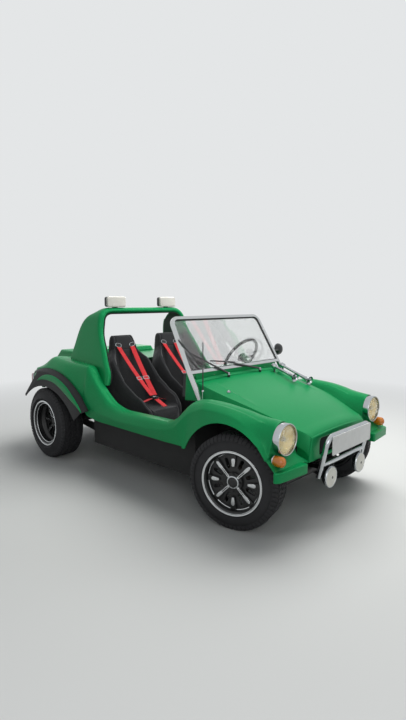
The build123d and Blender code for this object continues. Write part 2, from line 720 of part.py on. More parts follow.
def make_tyre(outer_r, half_width, rim_half):
    bead_half = rim_half - 14
    shoulder = outer_r - 34
    with BuildPart() as tyre:
        with BuildSketch(Plane.XZ):
            with BuildLine():
                side_out = Polyline((seat_r + fit, bead_half), (bead_r + 20, bead_half + 1))
                wall_out = ThreePointArc(side_out @ 1, ((bead_r + outer_r) / 2 - 6, half_width),
                                         (shoulder, half_width - 10))
                round_out = ThreePointArc(wall_out @ 1, (outer_r - 9, half_width - 19),
                                          (outer_r, half_width - 38))
                tread = Line(round_out @ 1, (outer_r, -half_width + 38))
                round_in = ThreePointArc(tread @ 1, (outer_r - 9, -half_width + 19),
                                         (shoulder, -half_width + 10))
                wall_in = ThreePointArc(round_in @ 1, ((bead_r + outer_r) / 2 - 6, -half_width),
                                        (bead_r + 20, -bead_half - 1))
                Polyline(wall_in @ 1, (seat_r + fit, -bead_half), (seat_r + fit, -bead_half + 16),
                         (bead_r + 30, -half_width + 18), (outer_r - 18, -half_width + 30),
                         (outer_r - 18, half_width - 30), (bead_r + 30, half_width - 18),
                         (seat_r + fit, bead_half - 16), side_out @ 0)
            make_face()
        revolve(axis=Axis.Z)
    return tyre


front_rim = make_rim(front_rim_half, front_dish)
rear_rim = make_rim(rear_rim_half, rear_dish)
front_tyre = make_tyre(front_tyre_r, front_tyre_half, front_rim_half)
rear_tyre = make_tyre(rear_tyre_r, rear_tyre_half, rear_rim_half)

wheels = {}
for side_name, side in (("left", 1), ("right", -1)):
    rear_plane = Plane(origin=(rear_axle_x, side * rear_wheel_y, rear_tyre_r), x_dir=(0, 0, 1),
                       z_dir=(0, side, 0))
    for name, shape, plane in (
        (f"front_rim_{side_name}", front_rim, wheel_plane(side)),
        (f"front_tyre_{side_name}", front_tyre, wheel_plane(side)),
        (f"rear_rim_{side_name}", rear_rim, rear_plane),
        (f"rear_tyre_{side_name}", rear_tyre, rear_plane),
    ):
        with BuildPart() as placed:
            with Locations(plane.location):
                add(shape.part)
        wheels[name] = placed

# Rear axle: gearbox, swing tubes to the hubs, spring plates, torsion tube and backbone.
axle_tube_end = rear_wheel_y + rear_rim_half - rear_dish - disc_thick - drum_depth - running_gap
axle_stub_end = rear_wheel_y + rear_rim_half - rear_dish - disc_thick - running_gap
gearbox_rear_x = rear_axle_x - 110
gearbox_length, gearbox_half, gearbox_height = 340, 150, 210
torsion_x, torsion_z, torsion_r, plate_y = rear_axle_x + 400, 290, 38, 480
backbone_half, backbone_low, backbone_top = 70, 255, 325


def bulkhead_back(z):
    """The point on the rear bulkhead's back face at one height."""
    share = (z - floor_z) / (bulkhead_top_z - floor_z)
    return (bulkhead_foot_x - steel_wall + share * (bulkhead_top_x - bulkhead_foot_x), z)


with BuildPart() as rear_axle:
    for radius, reach in ((34, axle_tube_end), (stub_r, axle_stub_end)):
        with BuildSketch(alongside(reach)):
            with Locations((rear_axle_x, rear_tyre_r)):
                Circle(radius)
        extrude(amount=reach * 2)
    with BuildSketch(alongside(gearbox_half)):
        with Locations((gearbox_rear_x + gearbox_length / 2, rear_tyre_r)):
            RectangleRounded(gearbox_length, gearbox_height, 40)
    extrude(amount=gearbox_half * 2)
    for side in (-1, 1):
        with BuildSketch(alongside(side * plate_y + 5)):
            with BuildLine():
                Polyline((rear_axle_x + 30, 300), (rear_axle_x - 30, 300), (rear_axle_x - 30, 345),
                         (rear_axle_x + 30, 345), (torsion_x + 30, 330), (torsion_x + 30, 250),
                         close=True)
            make_face()
        extrude(amount=10)
    with BuildSketch(alongside(plate_y)):
        with Locations((torsion_x, torsion_z)):
            Circle(torsion_r)
    extrude(amount=plate_y * 2)
    with BuildSketch(alongside(backbone_half)):
        with BuildLine():
            Polyline((gearbox_rear_x + gearbox_length - 20, backbone_top),
                     (gearbox_rear_x + gearbox_length - 20, backbone_low),
                     bulkhead_back(backbone_low), bulkhead_back(backbone_top), close=True)
        make_face()
    extrude(amount=backbone_half * 2)

# Engine block against the gearbox, and the exhaust behind it on its two header pipes.
engine_length, engine_half, engine_low, engine_high = 370, 360, 235, 565
engine_rear_x = gearbox_rear_x - engine_length
with BuildPart() as engine_block:
    with BuildSketch(Plane.XY.offset(engine_low)):
        with Locations((gearbox_rear_x - engine_length / 2, 0)):
            Rectangle(engine_length, engine_half * 2)
    extrude(amount=engine_high - engine_low)

muffler_r, muffler_half, muffler_z = 56, 420, 285
muffler_x = engine_rear_x - 4 - muffler_r
header_y, header_r, tail_pipe_y, tail_pipe_r, tail_pipe_length = 260, 20, 150, 24, 60
with BuildPart() as exhaust:
    with BuildSketch(alongside(muffler_half)):
        with Locations((muffler_x, muffler_z)):
            Circle(muffler_r)
    extrude(amount=muffler_half * 2)
    for pipe_y, pipe_z, pipe_r, start_x, length in (
        (header_y, muffler_z, header_r, muffler_x, engine_rear_x - muffler_x),
        (tail_pipe_y, muffler_z - 23, tail_pipe_r, muffler_x - tail_pipe_length, tail_pipe_length),
    ):
        for side in (-1, 1):
            with BuildSketch(across(start_x)):
                with Locations((side * pipe_y, pipe_z)):
                    Circle(pipe_r)
            extrude(amount=length)

# Steering: column through the dashboard and a dished wheel.
column_angle = 32
column_dir = (-cos(radians(column_angle)), 0, sin(radians(column_angle)))
wheel_hub = (front_axle_x - 740, 330, 955)
column_plane = Plane(origin=wheel_hub, x_dir=(0, 1, 0), z_dir=column_dir)
steering_r, steering_grip = 180, 13
column_r, column_top = 19, 40
column_reach = (toe_x - steel_wall - fit - wheel_hub[0] - column_r * column_dir[2]) / -column_dir[0]
with BuildPart() as steering_column:
    with BuildSketch(column_plane.offset(-column_reach)):
        Circle(column_r)
    extrude(amount=column_reach - column_top)
with BuildPart() as steering_wheel:
    with BuildSketch(column_plane.offset(-column_top + fit)):
        Circle(26)
    extrude(amount=44)
    with BuildSketch(column_plane.offset(-14)):
        with PolarLocations(0, 3, start_angle=90):
            with BuildLine():
                Polyline((0, -14), (steering_r - 4, -14), (steering_r - 4, 14), (0, 14), close=True)
            make_face()
    extrude(amount=5)
    with Locations(column_plane.location):
        Torus(steering_r, steering_grip)
with BuildPart() as dashboard_cut:
    add(dashboard.part)
    add(steering_column.part, mode=Mode.SUBTRACT)
dashboard = dashboard_cut

# Lamps at the front: chrome bezels with bulged glass, round turn signals, hanging driving lamps.
lamp_y, lamp_z, lamp_r, lamp_back = 570, 627, 98, front_axle_x + 319
bezel_depth, bezel_width = 46, 14
lamp_plane = Plane(origin=(lamp_back, lamp_y, lamp_z), x_dir=(0, 1, 0), z_dir=(1, 0, 0))
with BuildPart() as bezel:
    with BuildSketch(Plane.XZ):
        with BuildLine():
            Polyline((lamp_r, 0), (lamp_r, 22), (lamp_r - 5, bezel_depth - 4), (lamp_r - 9, bezel_depth),
                     (lamp_r - bezel_width, bezel_depth - 4), (lamp_r - bezel_width, 0), close=True)
        make_face()
    revolve(axis=Axis.Z)
lens_r, lens_edge, lens_bulge = lamp_r - bezel_width - fit, 30, 20
bulge_r = (lens_r ** 2 + lens_bulge ** 2) / (2 * lens_bulge)
with BuildPart() as lens:
    with BuildSketch():
        Circle(lens_r)
    extrude(amount=lens_edge + lens_bulge)
    with Locations((0, 0, lens_edge + lens_bulge - bulge_r)):
        Sphere(bulge_r, mode=Mode.INTERSECT)
with BuildPart() as bezel_left:
    with Locations(lamp_plane.location):
        add(bezel.part)
with BuildPart() as lens_left:
    with Locations(lamp_plane.location):
        add(lens.part)
headlamp_bezels = both_sides(bezel_left)
headlamp_lenses = both_sides(lens_left)

signal_y, signal_z, signal_r = 661, 518, 33
with BuildPart() as signal:
    with BuildSketch(across(front_axle_x + 345)):
        with Locations((signal_y, signal_z)):
            Circle(signal_r)
    extrude(amount=62)
    add(fender_outer.part, mode=Mode.SUBTRACT)
turn_signals = both_sides(signal)

# Nudge bar: an upright tube loop in front of the nose, with the plate on it and lamps under it.
bar_x, bar_half, bar_top, bar_r = front_axle_x + 462, 280, 601, 17
cross_x, cross_z, cross_r = bar_x - 42, 410, 14
with BuildPart() as nudge_bar:
    with BuildLine() as bar_path:
        FilletPolyline((bar_x - 60, bar_half, 330), (bar_x, bar_half, bar_top), (bar_x, -bar_half, bar_top),
                       (bar_x - 60, -bar_half, 330), radius=70)
    with BuildSketch(Plane(origin=bar_path.line @ 0, z_dir=bar_path.line % 0)):
        Circle(bar_r)
    sweep()
    with BuildSketch(alongside(bar_half)):
        with Locations((cross_x, cross_z)):
            Circle(cross_r)
    extrude(amount=bar_half * 2)
    for side in (-1, 1):
        with BuildSketch(across(beam_x + beam_tube_r + fit)):
            with Locations((side * 255, 395)):
                Rectangle(24, 30)
        extrude(amount=cross_x - beam_x - beam_tube_r - fit)
plate_hole_spacing, plate_hole_r = 300, 3
with BuildPart() as number_plate:
    with BuildSketch(across(bar_x + bar_r)):
        with Locations((0, 540)):
            RectangleRounded(520, 110, 12)
            with Locations((-plate_hole_spacing / 2, 0), (plate_hole_spacing / 2, 0)):
                Circle(plate_hole_r, mode=Mode.SUBTRACT)
    extrude(amount=4)

drive_y, drive_z, drive_r = 198, 323, 70
with BuildPart() as drive_lamp:
    with BuildSketch(across(bar_x - 66)):
        with Locations((drive_y, drive_z)):
            Circle(drive_r)
    extrude(amount=60)
    with BuildSketch(Plane.XY.offset(drive_z)):
        with Locations((cross_x, drive_y)):
            Circle(9)
    extrude(amount=cross_z - drive_z)
    add(nudge_bar.part, mode=Mode.SUBTRACT)
driving_lamps = both_sides(drive_lamp)

# Roof lamps on the hoop, covered.
with BuildPart() as roof_lamp:
    with BuildSketch(Plane.XY.offset(hoop_top)):
        with Locations((rear_axle_x + 462, 305)):
            RectangleRounded(60, 200, 20)
    extrude(amount=100)
    fillet(roof_lamp.edges().group_by(Axis.Z)[-1], radius=12)
roof_lamps = both_sides(roof_lamp)

# Tail lamps at the ends of the rear fenders.
tail_lamp_y, tail_lamp_z, tail_lamp_width, tail_lamp_height, tail_lamp_depth = 622, 672, 84, 112, 90
with BuildPart() as tail_lamp:
    with BuildSketch(across(tail_x - tail_lamp_depth)):
        with Locations((tail_lamp_y, tail_lamp_z)):
            RectangleRounded(tail_lamp_width, tail_lamp_height, 20)
    extrude(amount=tail_lamp_depth)
tail_lamps = both_sides(tail_lamp)

# Rear flares: black rubber guards that lead from the arch out over the tyre, with a green strip on each.
guard_thick, flare_thick = 6, 10
guard_out = rear_fender_half + guard_thick
flare_out = guard_out + flare_thick
guard_inner, guard_lap = rear_fender_half - 62, 12
guard_corner_r, guard_low_r = rear_arch_r - 26, 592
guard_start, guard_sweep = -40, 93      # degrees from upright at the rear end, then forward
arch_axis = Axis((rear_axle_x + rear_arch_ahead, 0, rear_arch_z), (0, 1, 0))
guard_dir = (sin(radians(guard_start)), 0, cos(radians(guard_start)))
with BuildPart() as guard:
    with BuildSketch(Plane(origin=arch_axis.position, x_dir=guard_dir,
                           z_dir=(-guard_dir[2], 0, guard_dir[0]))):
        with BuildLine():
            Polyline((rear_arch_r, guard_inner), (rear_arch_r, guard_inner + guard_lap),
                     (guard_corner_r, guard_out), (guard_low_r, guard_out),
                     (guard_low_r, guard_out - guard_thick),
                     (guard_corner_r - guard_thick, guard_out - guard_thick),
                     (rear_arch_r - guard_thick - 4, guard_inner + guard_lap - 4),
                     (rear_arch_r - guard_thick - 4, guard_inner), close=True)
        make_face()
    revolve(axis=arch_axis, revolution_arc=guard_sweep)
    add(rear_fender_left.part, mode=Mode.SUBTRACT)
    add(body_side_left.part, mode=Mode.SUBTRACT)
arch_guards = both_sides(guard)
# Side outline of the strip: its two ends and the middles of its upper and lower edge.
flare_rear, flare_top, flare_tip, flare_low = (-64, 716), (270, 772), (650, 530), (326, 688)
with BuildPart() as flare:
    with BuildSketch(alongside(flare_out)):
        with BuildLine():
            ends = [(rear_axle_x + ahead, z) for ahead, z in (flare_rear, flare_top, flare_tip, flare_low)]
            ThreePointArc(*ends[:3])
            ThreePointArc(ends[2], ends[3], ends[0])
        make_face()
    extrude(amount=flare_thick)
rear_flares = both_sides(flare)

# Fittings on the cowl: trumpet horns, wipers, aerial and the round mirror.
# Columns: rear end and mouth of each trumpet, as X ahead of the front axle, Y and Z.
horn_rows = [(-424, 385, 897, -181, 330, 834), (-412, 490, 893, -116, 440, 803)]
with BuildPart() as horns:
    for rear_a, rear_y, rear_z, mouth_a, mouth_y, mouth_z in horn_rows:
        run = (mouth_a - rear_a, mouth_y - rear_y, mouth_z - rear_z)
        length = sum(v * v for v in run) ** 0.5
        plane = Plane(origin=(front_axle_x + rear_a, rear_y, rear_z), z_dir=run)
        with BuildPart(mode=Mode.PRIVATE) as trumpet:
            with BuildSketch(Plane.XZ):
                with BuildLine():
                    Polyline((0, -20), (22, -20), (22, 12), (10, 20), (12, length * 0.7),
                             (20, length * 0.9), (36, length), (0, length * 0.94), close=True)
                make_face()
            revolve(axis=Axis.Z)
        with Locations(plane.location):
            add(trumpet.part)
        with BuildSketch(Plane.XY.offset(rear_z - 60)):
            with Locations((front_axle_x + rear_a, rear_y)):
                Circle(8)
        extrude(amount=56)
    add(hood_outer.part, mode=Mode.SUBTRACT)
    add(scuttle_outer.part, mode=Mode.SUBTRACT)

# Wipers: columns Y of the pivot, then the blade's tip and heel as Y and rise above the lower rail.
wiper_rows = [(-162, (-528, 260), (-413, 26)), (225, (-296, 69), (-33, 33))]
pivot_x, pivot_low, pivot_top, pivot_r = front_axle_x - 452, 840, 893, 11
pivot_rise = -52
blade_off, blade_width, blade_thick, arm_thick = frame_depth / 2 + 1, 9, 5, 6
with BuildPart() as wipers:
    for pivot_y, tip, heel in wiper_rows:
        with BuildSketch(Plane.XY.offset(pivot_low)):
            with Locations((pivot_x, pivot_y)):
                Circle(pivot_r)
        extrude(amount=pivot_top - pivot_low)
        middle = ((tip[0] + heel[0]) / 2, (tip[1] + heel[1]) / 2)
        for off, thick, start, end, start_half, end_half in (
            (blade_off, blade_thick, tip, heel, blade_width / 2, blade_width / 2),
            (blade_off + blade_thick, arm_thick, (pivot_y, pivot_rise), middle, 7, 4),
        ):
            run = Vector(end[0] - start[0], end[1] - start[1], 0).normalized()
            side_step = Vector(-run.Y, run.X, 0)
            with BuildSketch(screen_plane.offset(off)):
                with BuildLine():
                    Polyline(*[(point[0] + side_step.X * half, point[1] + side_step.Y * half)
                               for point, half in ((start, start_half), (end, end_half),
                                                   (end, -end_half), (start, -start_half))], close=True)
                make_face()
            extrude(amount=thick)
    add(hood_outer.part, mode=Mode.SUBTRACT)
    add(scuttle_outer.part, mode=Mode.SUBTRACT)

with BuildPart() as aerial:
    with BuildSketch(Plane.XY.offset(735)):
        with Locations((front_axle_x - 340, 560)):
            Circle(9)
    extrude(amount=95)
    with BuildSketch(Plane.XY.offset(830)):
        with Locations((front_axle_x - 340, 560)):
            Circle(2.5)
    extrude(amount=330)
    add(fender_outer.part, mode=Mode.SUBTRACT)
aerial = mirrored(aerial)

with BuildPart() as mirror_head:
    with BuildSketch(across(front_axle_x - 588)):
        with Locations((650, 1011)):
            Circle(52)
    extrude(amount=48)
    with BuildSketch(alongside(610)):
        with Locations((front_axle_x - 548, 1011)):
            Circle(7)
    extrude(amount=90)
    add(windscreen_frame.part, mode=Mode.SUBTRACT)

pieces = {
    "hood": hood, "front_fender_left": front_fender_left, "front_fender_right": front_fender_right,
    "nose_panel": nose_panel, "front_tub": front_tub, "body_side_left": body_side_left,
    "body_side_right": body_side_right, "rear_fender_left": rear_fender_left,
    "rear_fender_right": rear_fender_right, "rear_deck": rear_deck, "engine_cover": engine_cover,
    "hoop": hoop, "scuttle": scuttle, "windscreen_frame": windscreen_frame,
    "windscreen_glass": windscreen_glass, "screen_seal": screen_seal, "dashboard": dashboard, "floor_tub": floor_tub,
    "rear_bulkhead": rear_bulkhead, "seat_left": seat_left, "seat_right": seat_right, "harnesses": harnesses,
    "front_beam": front_beam, "knuckle_left": knuckles["left"], "knuckle_right": knuckles["right"],
    "rear_axle": rear_axle, "engine_block": engine_block, "exhaust": exhaust,
    "steering_column": steering_column, "steering_wheel": steering_wheel,
    "headlamp_bezels": headlamp_bezels, "headlamp_lenses": headlamp_lenses,
    "turn_signals": turn_signals, "nudge_bar": nudge_bar, "number_plate": number_plate,
    "driving_lamps": driving_lamps, "roof_lamps": roof_lamps, "tail_lamps": tail_lamps,
    "arch_guards": arch_guards, "rear_flares": rear_flares, "horns": horns, "wipers": wipers,
    "aerial": aerial, "mirror_head": mirror_head, **wheels,
}
for name, piece in pieces.items():
    piece.part.label = name
    export_step(piece.part, f"parts/{name}.step")
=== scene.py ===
"""Looks of the open two-seat beach buggy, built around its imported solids."""

from math import asin, atan2, cos, degrees, pi, radians, sin, sqrt

import bmesh
import bpy
import numpy as np
from mathutils import Matrix, Vector


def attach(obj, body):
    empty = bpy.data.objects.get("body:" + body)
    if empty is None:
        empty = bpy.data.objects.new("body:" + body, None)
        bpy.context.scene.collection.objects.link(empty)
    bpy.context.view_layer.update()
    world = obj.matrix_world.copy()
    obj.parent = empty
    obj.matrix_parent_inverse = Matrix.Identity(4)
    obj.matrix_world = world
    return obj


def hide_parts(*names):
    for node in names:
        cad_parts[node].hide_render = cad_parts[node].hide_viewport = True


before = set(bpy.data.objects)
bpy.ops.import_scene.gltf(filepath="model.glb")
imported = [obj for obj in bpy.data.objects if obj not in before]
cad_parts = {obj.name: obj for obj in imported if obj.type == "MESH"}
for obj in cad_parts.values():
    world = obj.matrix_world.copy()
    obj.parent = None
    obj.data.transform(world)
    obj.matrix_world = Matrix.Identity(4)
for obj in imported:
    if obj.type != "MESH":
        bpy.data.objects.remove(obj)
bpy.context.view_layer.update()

# Hood: the crowned glass-fibre lid of the front boot, laid up in a mould with its green metallic
# gelcoat first. Its creased edges drop into the gutters beside the fenders, and two raised wedges
# stiffen its rear corners where the catches sit.
front_axle_x = 1131.5
wheelbase = 2146
mm = 0.001


def linear(colour):
    """An sRGB hex colour as the linear values a shader socket takes."""
    channels = [int(colour[i:i + 2], 16) / 255 for i in (1, 3, 5)]
    return [c / 12.92 if c <= 0.04045 else ((c + 0.055) / 1.055) ** 2.4 for c in channels] + [1]


def add_node(tree, kind, inputs=None, **settings):
    """One node with its settings, and its inputs linked from sockets or set to values."""
    node = tree.nodes.new(kind)
    for name, value in settings.items():
        setattr(node, name, value)
    for name, value in (inputs or {}).items():
        if isinstance(value, bpy.types.NodeSocket):
            tree.links.new(value, node.inputs[name])
        else:
            node.inputs[name].default_value = value
    return node


def start_material(name, colour, roughness, **shader_values):
    """A material with its shader and output: its tree, the shader and the object coordinates."""
    material = bpy.data.materials.new(name)
    material.use_nodes = True
    tree = material.node_tree
    tree.nodes.clear()
    shader = add_node(tree, "ShaderNodeBsdfPrincipled", {"Base Color": linear(colour), "Roughness": roughness})
    for socket, value in shader_values.items():
        shader.inputs[socket.replace("_", " ")].default_value = value
    add_node(tree, "ShaderNodeOutputMaterial", {"Surface": shader.outputs["BSDF"]})
    place = add_node(tree, "ShaderNodeTexCoord").outputs["Object"]
    return material, tree, shader, place


def two_tones(tree, shader, dark, light, factor):
    """Colours the shader between two hex colours by a factor socket."""
    blend = add_node(tree, "ShaderNodeMix", {"Factor": factor}, data_type="RGBA", clamp_factor=True)
    # A colour mix keeps its colour sockets after the float and vector ones.
    blend.inputs[6].default_value, blend.inputs[7].default_value = linear(dark), linear(light)
    tree.links.new(blend.outputs[2], shader.inputs["Base Color"])


def relief(tree, shader, height, depth_mm, strength=1.0):
    """Bumps the shader by a height socket whose full swing is depth_mm."""
    bump = add_node(tree, "ShaderNodeBump", {"Height": height, "Distance": depth_mm * mm, "Strength": strength})
    tree.links.new(bump.outputs["Normal"], shader.inputs["Normal"])


def per_metre(size_mm):
    """The texture scale at which one cell of a pattern is size_mm wide."""
    return 1 / (size_mm * mm)


# Metal-flake gelcoat, polished in the mould: green with fine brighter flakes, a soft gloss and a
# faint long wave from the lay-up.
gelcoat, tree, shader, place = start_material("metallic_gelcoat", "#06854A", 0.38, Metallic=0.25,
                                              Specular_IOR_Level=0.2, Coat_Weight=0.05, Coat_Roughness=0.12)
flakes = add_node(tree, "ShaderNodeTexVoronoi", {"Vector": place, "Scale": per_metre(1.6)})
wave = add_node(tree, "ShaderNodeTexNoise", {"Vector": place, "Scale": per_metre(160), "Detail": 2.0})
two_tones(tree, shader, "#057B43", "#0C9756", flakes.outputs["Color"])
relief(tree, shader, wave.outputs["Fac"], 1.2, 0.25)


def at(ahead, y, z):
    """A point given in mm ahead of the front axle, to the left, and above the ground."""
    return Vector(((front_axle_x + ahead) * mm, y * mm, z * mm))


def flow(knots, values, where):
    """Values between knots on a smooth line that never swings past them, one row for each place."""
    knots, values, where = (np.array(v, float) for v in (knots, values, where))
    shape = (-1,) + (1,) * (values.ndim - 1)
    step = np.diff(knots).reshape(shape)
    rise = np.diff(values, axis=0) / step
    slope = np.zeros_like(values)
    with np.errstate(divide="ignore", invalid="ignore"):
        before, after = 2 * step[1:] + step[:-1], step[1:] + 2 * step[:-1]
        mean = (before + after) / (before / rise[:-1] + after / rise[1:])
    slope[1:-1] = np.where(rise[1:] * rise[:-1] > 0, np.nan_to_num(mean), 0)
    slope[0], slope[-1] = rise[0], rise[-1]
    i = np.clip(np.searchsorted(knots, where) - 1, 0, len(knots) - 2)
    t = ((where - knots[i]) / np.diff(knots)[i]).reshape(shape)
    h = step[i]
    return ((1 + 2 * t) * (1 - t) ** 2 * values[i] + t * (1 - t) ** 2 * h * slope[i]
            + t ** 2 * (3 - 2 * t) * values[i + 1] + t ** 2 * (t - 1) * h * slope[i + 1])


def eased(points, cuts, steps=4, closed=False):
    """The points of a polyline whose corners are cut back and rounded. cuts is in mm, one for each corner."""
    points = [Vector(p) for p in points]
    count = len(points)
    line = [] if closed else [points[0]]
    for i in range(count) if closed else range(1, count - 1):
        before, corner, after = points[i - 1], points[i], points[(i + 1) % count]
        cut_in = min(cuts[i] * mm, (before - corner).length * 0.5)
        cut_out = min(cuts[i] * mm, (after - corner).length * 0.5)
        start = corner + (before - corner).normalized() * cut_in
        end = corner + (after - corner).normalized() * cut_out
        for k in range(steps + 1):
            t = k / steps
            line.append(start * (1 - t) ** 2 + corner * 2 * t * (1 - t) + end * t ** 2)
    return line if closed else line + [points[-1]]


def put(name, mesh, material, body="root"):
    """A new object with this mesh and material, on a CAD body."""
    piece = bpy.data.objects.new(name, mesh)
    bpy.context.scene.collection.objects.link(piece)
    piece.data.materials.clear()
    piece.data.materials.append(material)
    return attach(piece, body)


def sheet_mesh(name, rows, inside=None, closed=False):
    """A mesh of four-sided faces through rows of points, its faces turned away from the inside point."""
    width = len(rows[0])
    faces = []
    for r in range(len(rows) - 1):
        for c in range(width if closed else width - 1):
            d = (c + 1) % width
            faces.append((r * width + c, r * width + d, (r + 1) * width + d, (r + 1) * width + c))
    mesh = bpy.data.meshes.new(name)
    mesh.from_pydata([p for row in rows for p in row], [], faces)
    mesh.validate()
    if inside is not None:
        outward = sum((f.center - Vector(inside)).dot(f.normal) * f.area for f in mesh.polygons)
        if outward < 0:
            mesh.flip_normals()
    return mesh


def finish_shape(piece, wall=0, bevel=0, segments=3, angle=35, levels=0):
    """Applies a wall grown inwards, rounded edges and subdivision, then shades the mesh smooth."""
    if wall:
        solid = piece.modifiers.new("wall", "SOLIDIFY")
        solid.thickness, solid.offset = wall * mm, -1

    if bevel:
        edge = piece.modifiers.new("edge", "BEVEL")
        edge.width, edge.segments, edge.angle_limit = bevel * mm, segments, radians(angle)
        edge.limit_method, edge.harden_normals = "ANGLE", False
        edge.use_clamp_overlap = True
    if levels:
        smooth = piece.modifiers.new("smooth", "SUBSURF")
        smooth.levels = smooth.render_levels = levels
    evaluated = piece.evaluated_get(bpy.context.evaluated_depsgraph_get())
    mesh = bpy.data.meshes.new_from_object(evaluated)
    piece.modifiers.clear()
    piece.data = mesh
    mesh.polygons.foreach_set("use_smooth", [True] * len(mesh.polygons))
    mesh.set_sharp_from_angle(angle=radians(38))
    return piece


def other_side(piece, name, body="root"):
    """The mirror image of a left-hand piece, across the car."""
    mesh = piece.data.copy()
    mesh.transform(Matrix.Scale(-1, 4, (0, 1, 0)))
    mesh.flip_normals()
    return put(name, mesh, piece.data.materials[0], body)


# Columns: mm ahead of the front axle, height at the centre, ridge Y and Z, foot Y and Z.
hood_rows = [
    (-462, 871, 488, 857, 512, 732),
    (-250, 815, 472, 800, 508, 705),
    (-30, 762, 450, 745, 486, 675),
    (150, 711, 412, 690, 436, 615),
    (300, 654, 370, 636, 398, 545),
    (368, 626, 349, 610, 372, 500),
    (380, 612, 343, 598, 370, 486),
]
wedge_y, wedge_rise, wedge_back, wedge_front = 384, 17, -384, 6
hood_ahead = [row[0] for row in hood_rows]
hood_places = sorted(set(np.round(np.linspace(-462, 380, 60), 1)) | {-396, -385, -378, 0, 6, 14})
lid = []
for ahead, row in zip(hood_places, flow(hood_ahead, [row[1:] for row in hood_rows], hood_places)):
    crown_z, ridge_y, ridge_z, foot_y, foot_z = row
    peak_y = min(wedge_y, 0.86 * ridge_y)
    fade = (wedge_front - ahead) / (wedge_front - wedge_back)
    rise = wedge_rise * min(max(fade, 0), 1) if ahead > wedge_back - 4 else 0
    widths = [ridge_y * share for share in (0, 0.12, 0.24, 0.36, 0.48, 0.58, 0.66, 0.73)]
    widths += [peak_y - 22, peak_y - 6, peak_y, peak_y + 8, peak_y + 34, ridge_y - 22, ridge_y - 9, ridge_y]
    half = []
    for y in widths:
        bump = rise * max(0, 1 - abs(y - peak_y) / (16 if y < peak_y else max(ridge_y - peak_y - 14, 1)))
        half.append((y, crown_z - (crown_z - ridge_z) * (y / ridge_y) ** 2 + bump))
    half += [(ridge_y + 5, ridge_z - 12), ((ridge_y + foot_y) / 2 + 3, (ridge_z + foot_z) / 2), (foot_y, foot_z)]
    lid.append([at(ahead, -y, z) for y, z in reversed(half[1:])] + [at(ahead, y, z) for y, z in half])
hood = put("hood_lid", sheet_mesh("hood_lid", lid, inside=at(-100, 0, 500)), gelcoat)
finish_shape(hood, wall=5, bevel=4, segments=3, angle=28)
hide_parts("hood")

# Scuttle: the cowl moulding behind the hood, one with the body, that rises to the windscreen's foot.
# A narrow dark joint parts it from the lid.
scuttle_rows = [(-466, 872, 489, 858, 513, 732), (-478, 882, 490, 868, 513, 732), (-500, 908, 494, 894, 515, 730),
                (-540, 931, 500, 917, 517, 725), (-562, 934, 500, 920, 517, 725)]
cowl = []
for ahead, crown_z, ridge_y, ridge_z, foot_y, foot_z in scuttle_rows:
    widths = [ridge_y * share for share in (0, 0.2, 0.4, 0.6, 0.8, 0.92)] + [ridge_y - 16, ridge_y - 5]
    half = [(y, crown_z - (crown_z - ridge_z) * (y / ridge_y) ** 2) for y in widths]
    half += [(ridge_y + 1, ridge_z - 4), (ridge_y + 5, ridge_z - 16), (foot_y, foot_z)]
    cowl.append([at(ahead, -y, z) for y, z in reversed(half[1:])] + [at(ahead, y, z) for y, z in half])
scuttle = put("scuttle_cowl", sheet_mesh("scuttle_cowl", cowl, inside=at(-500, 0, 600)), gelcoat)
finish_shape(scuttle, wall=6, bevel=2, segments=2, angle=30)
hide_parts("scuttle")

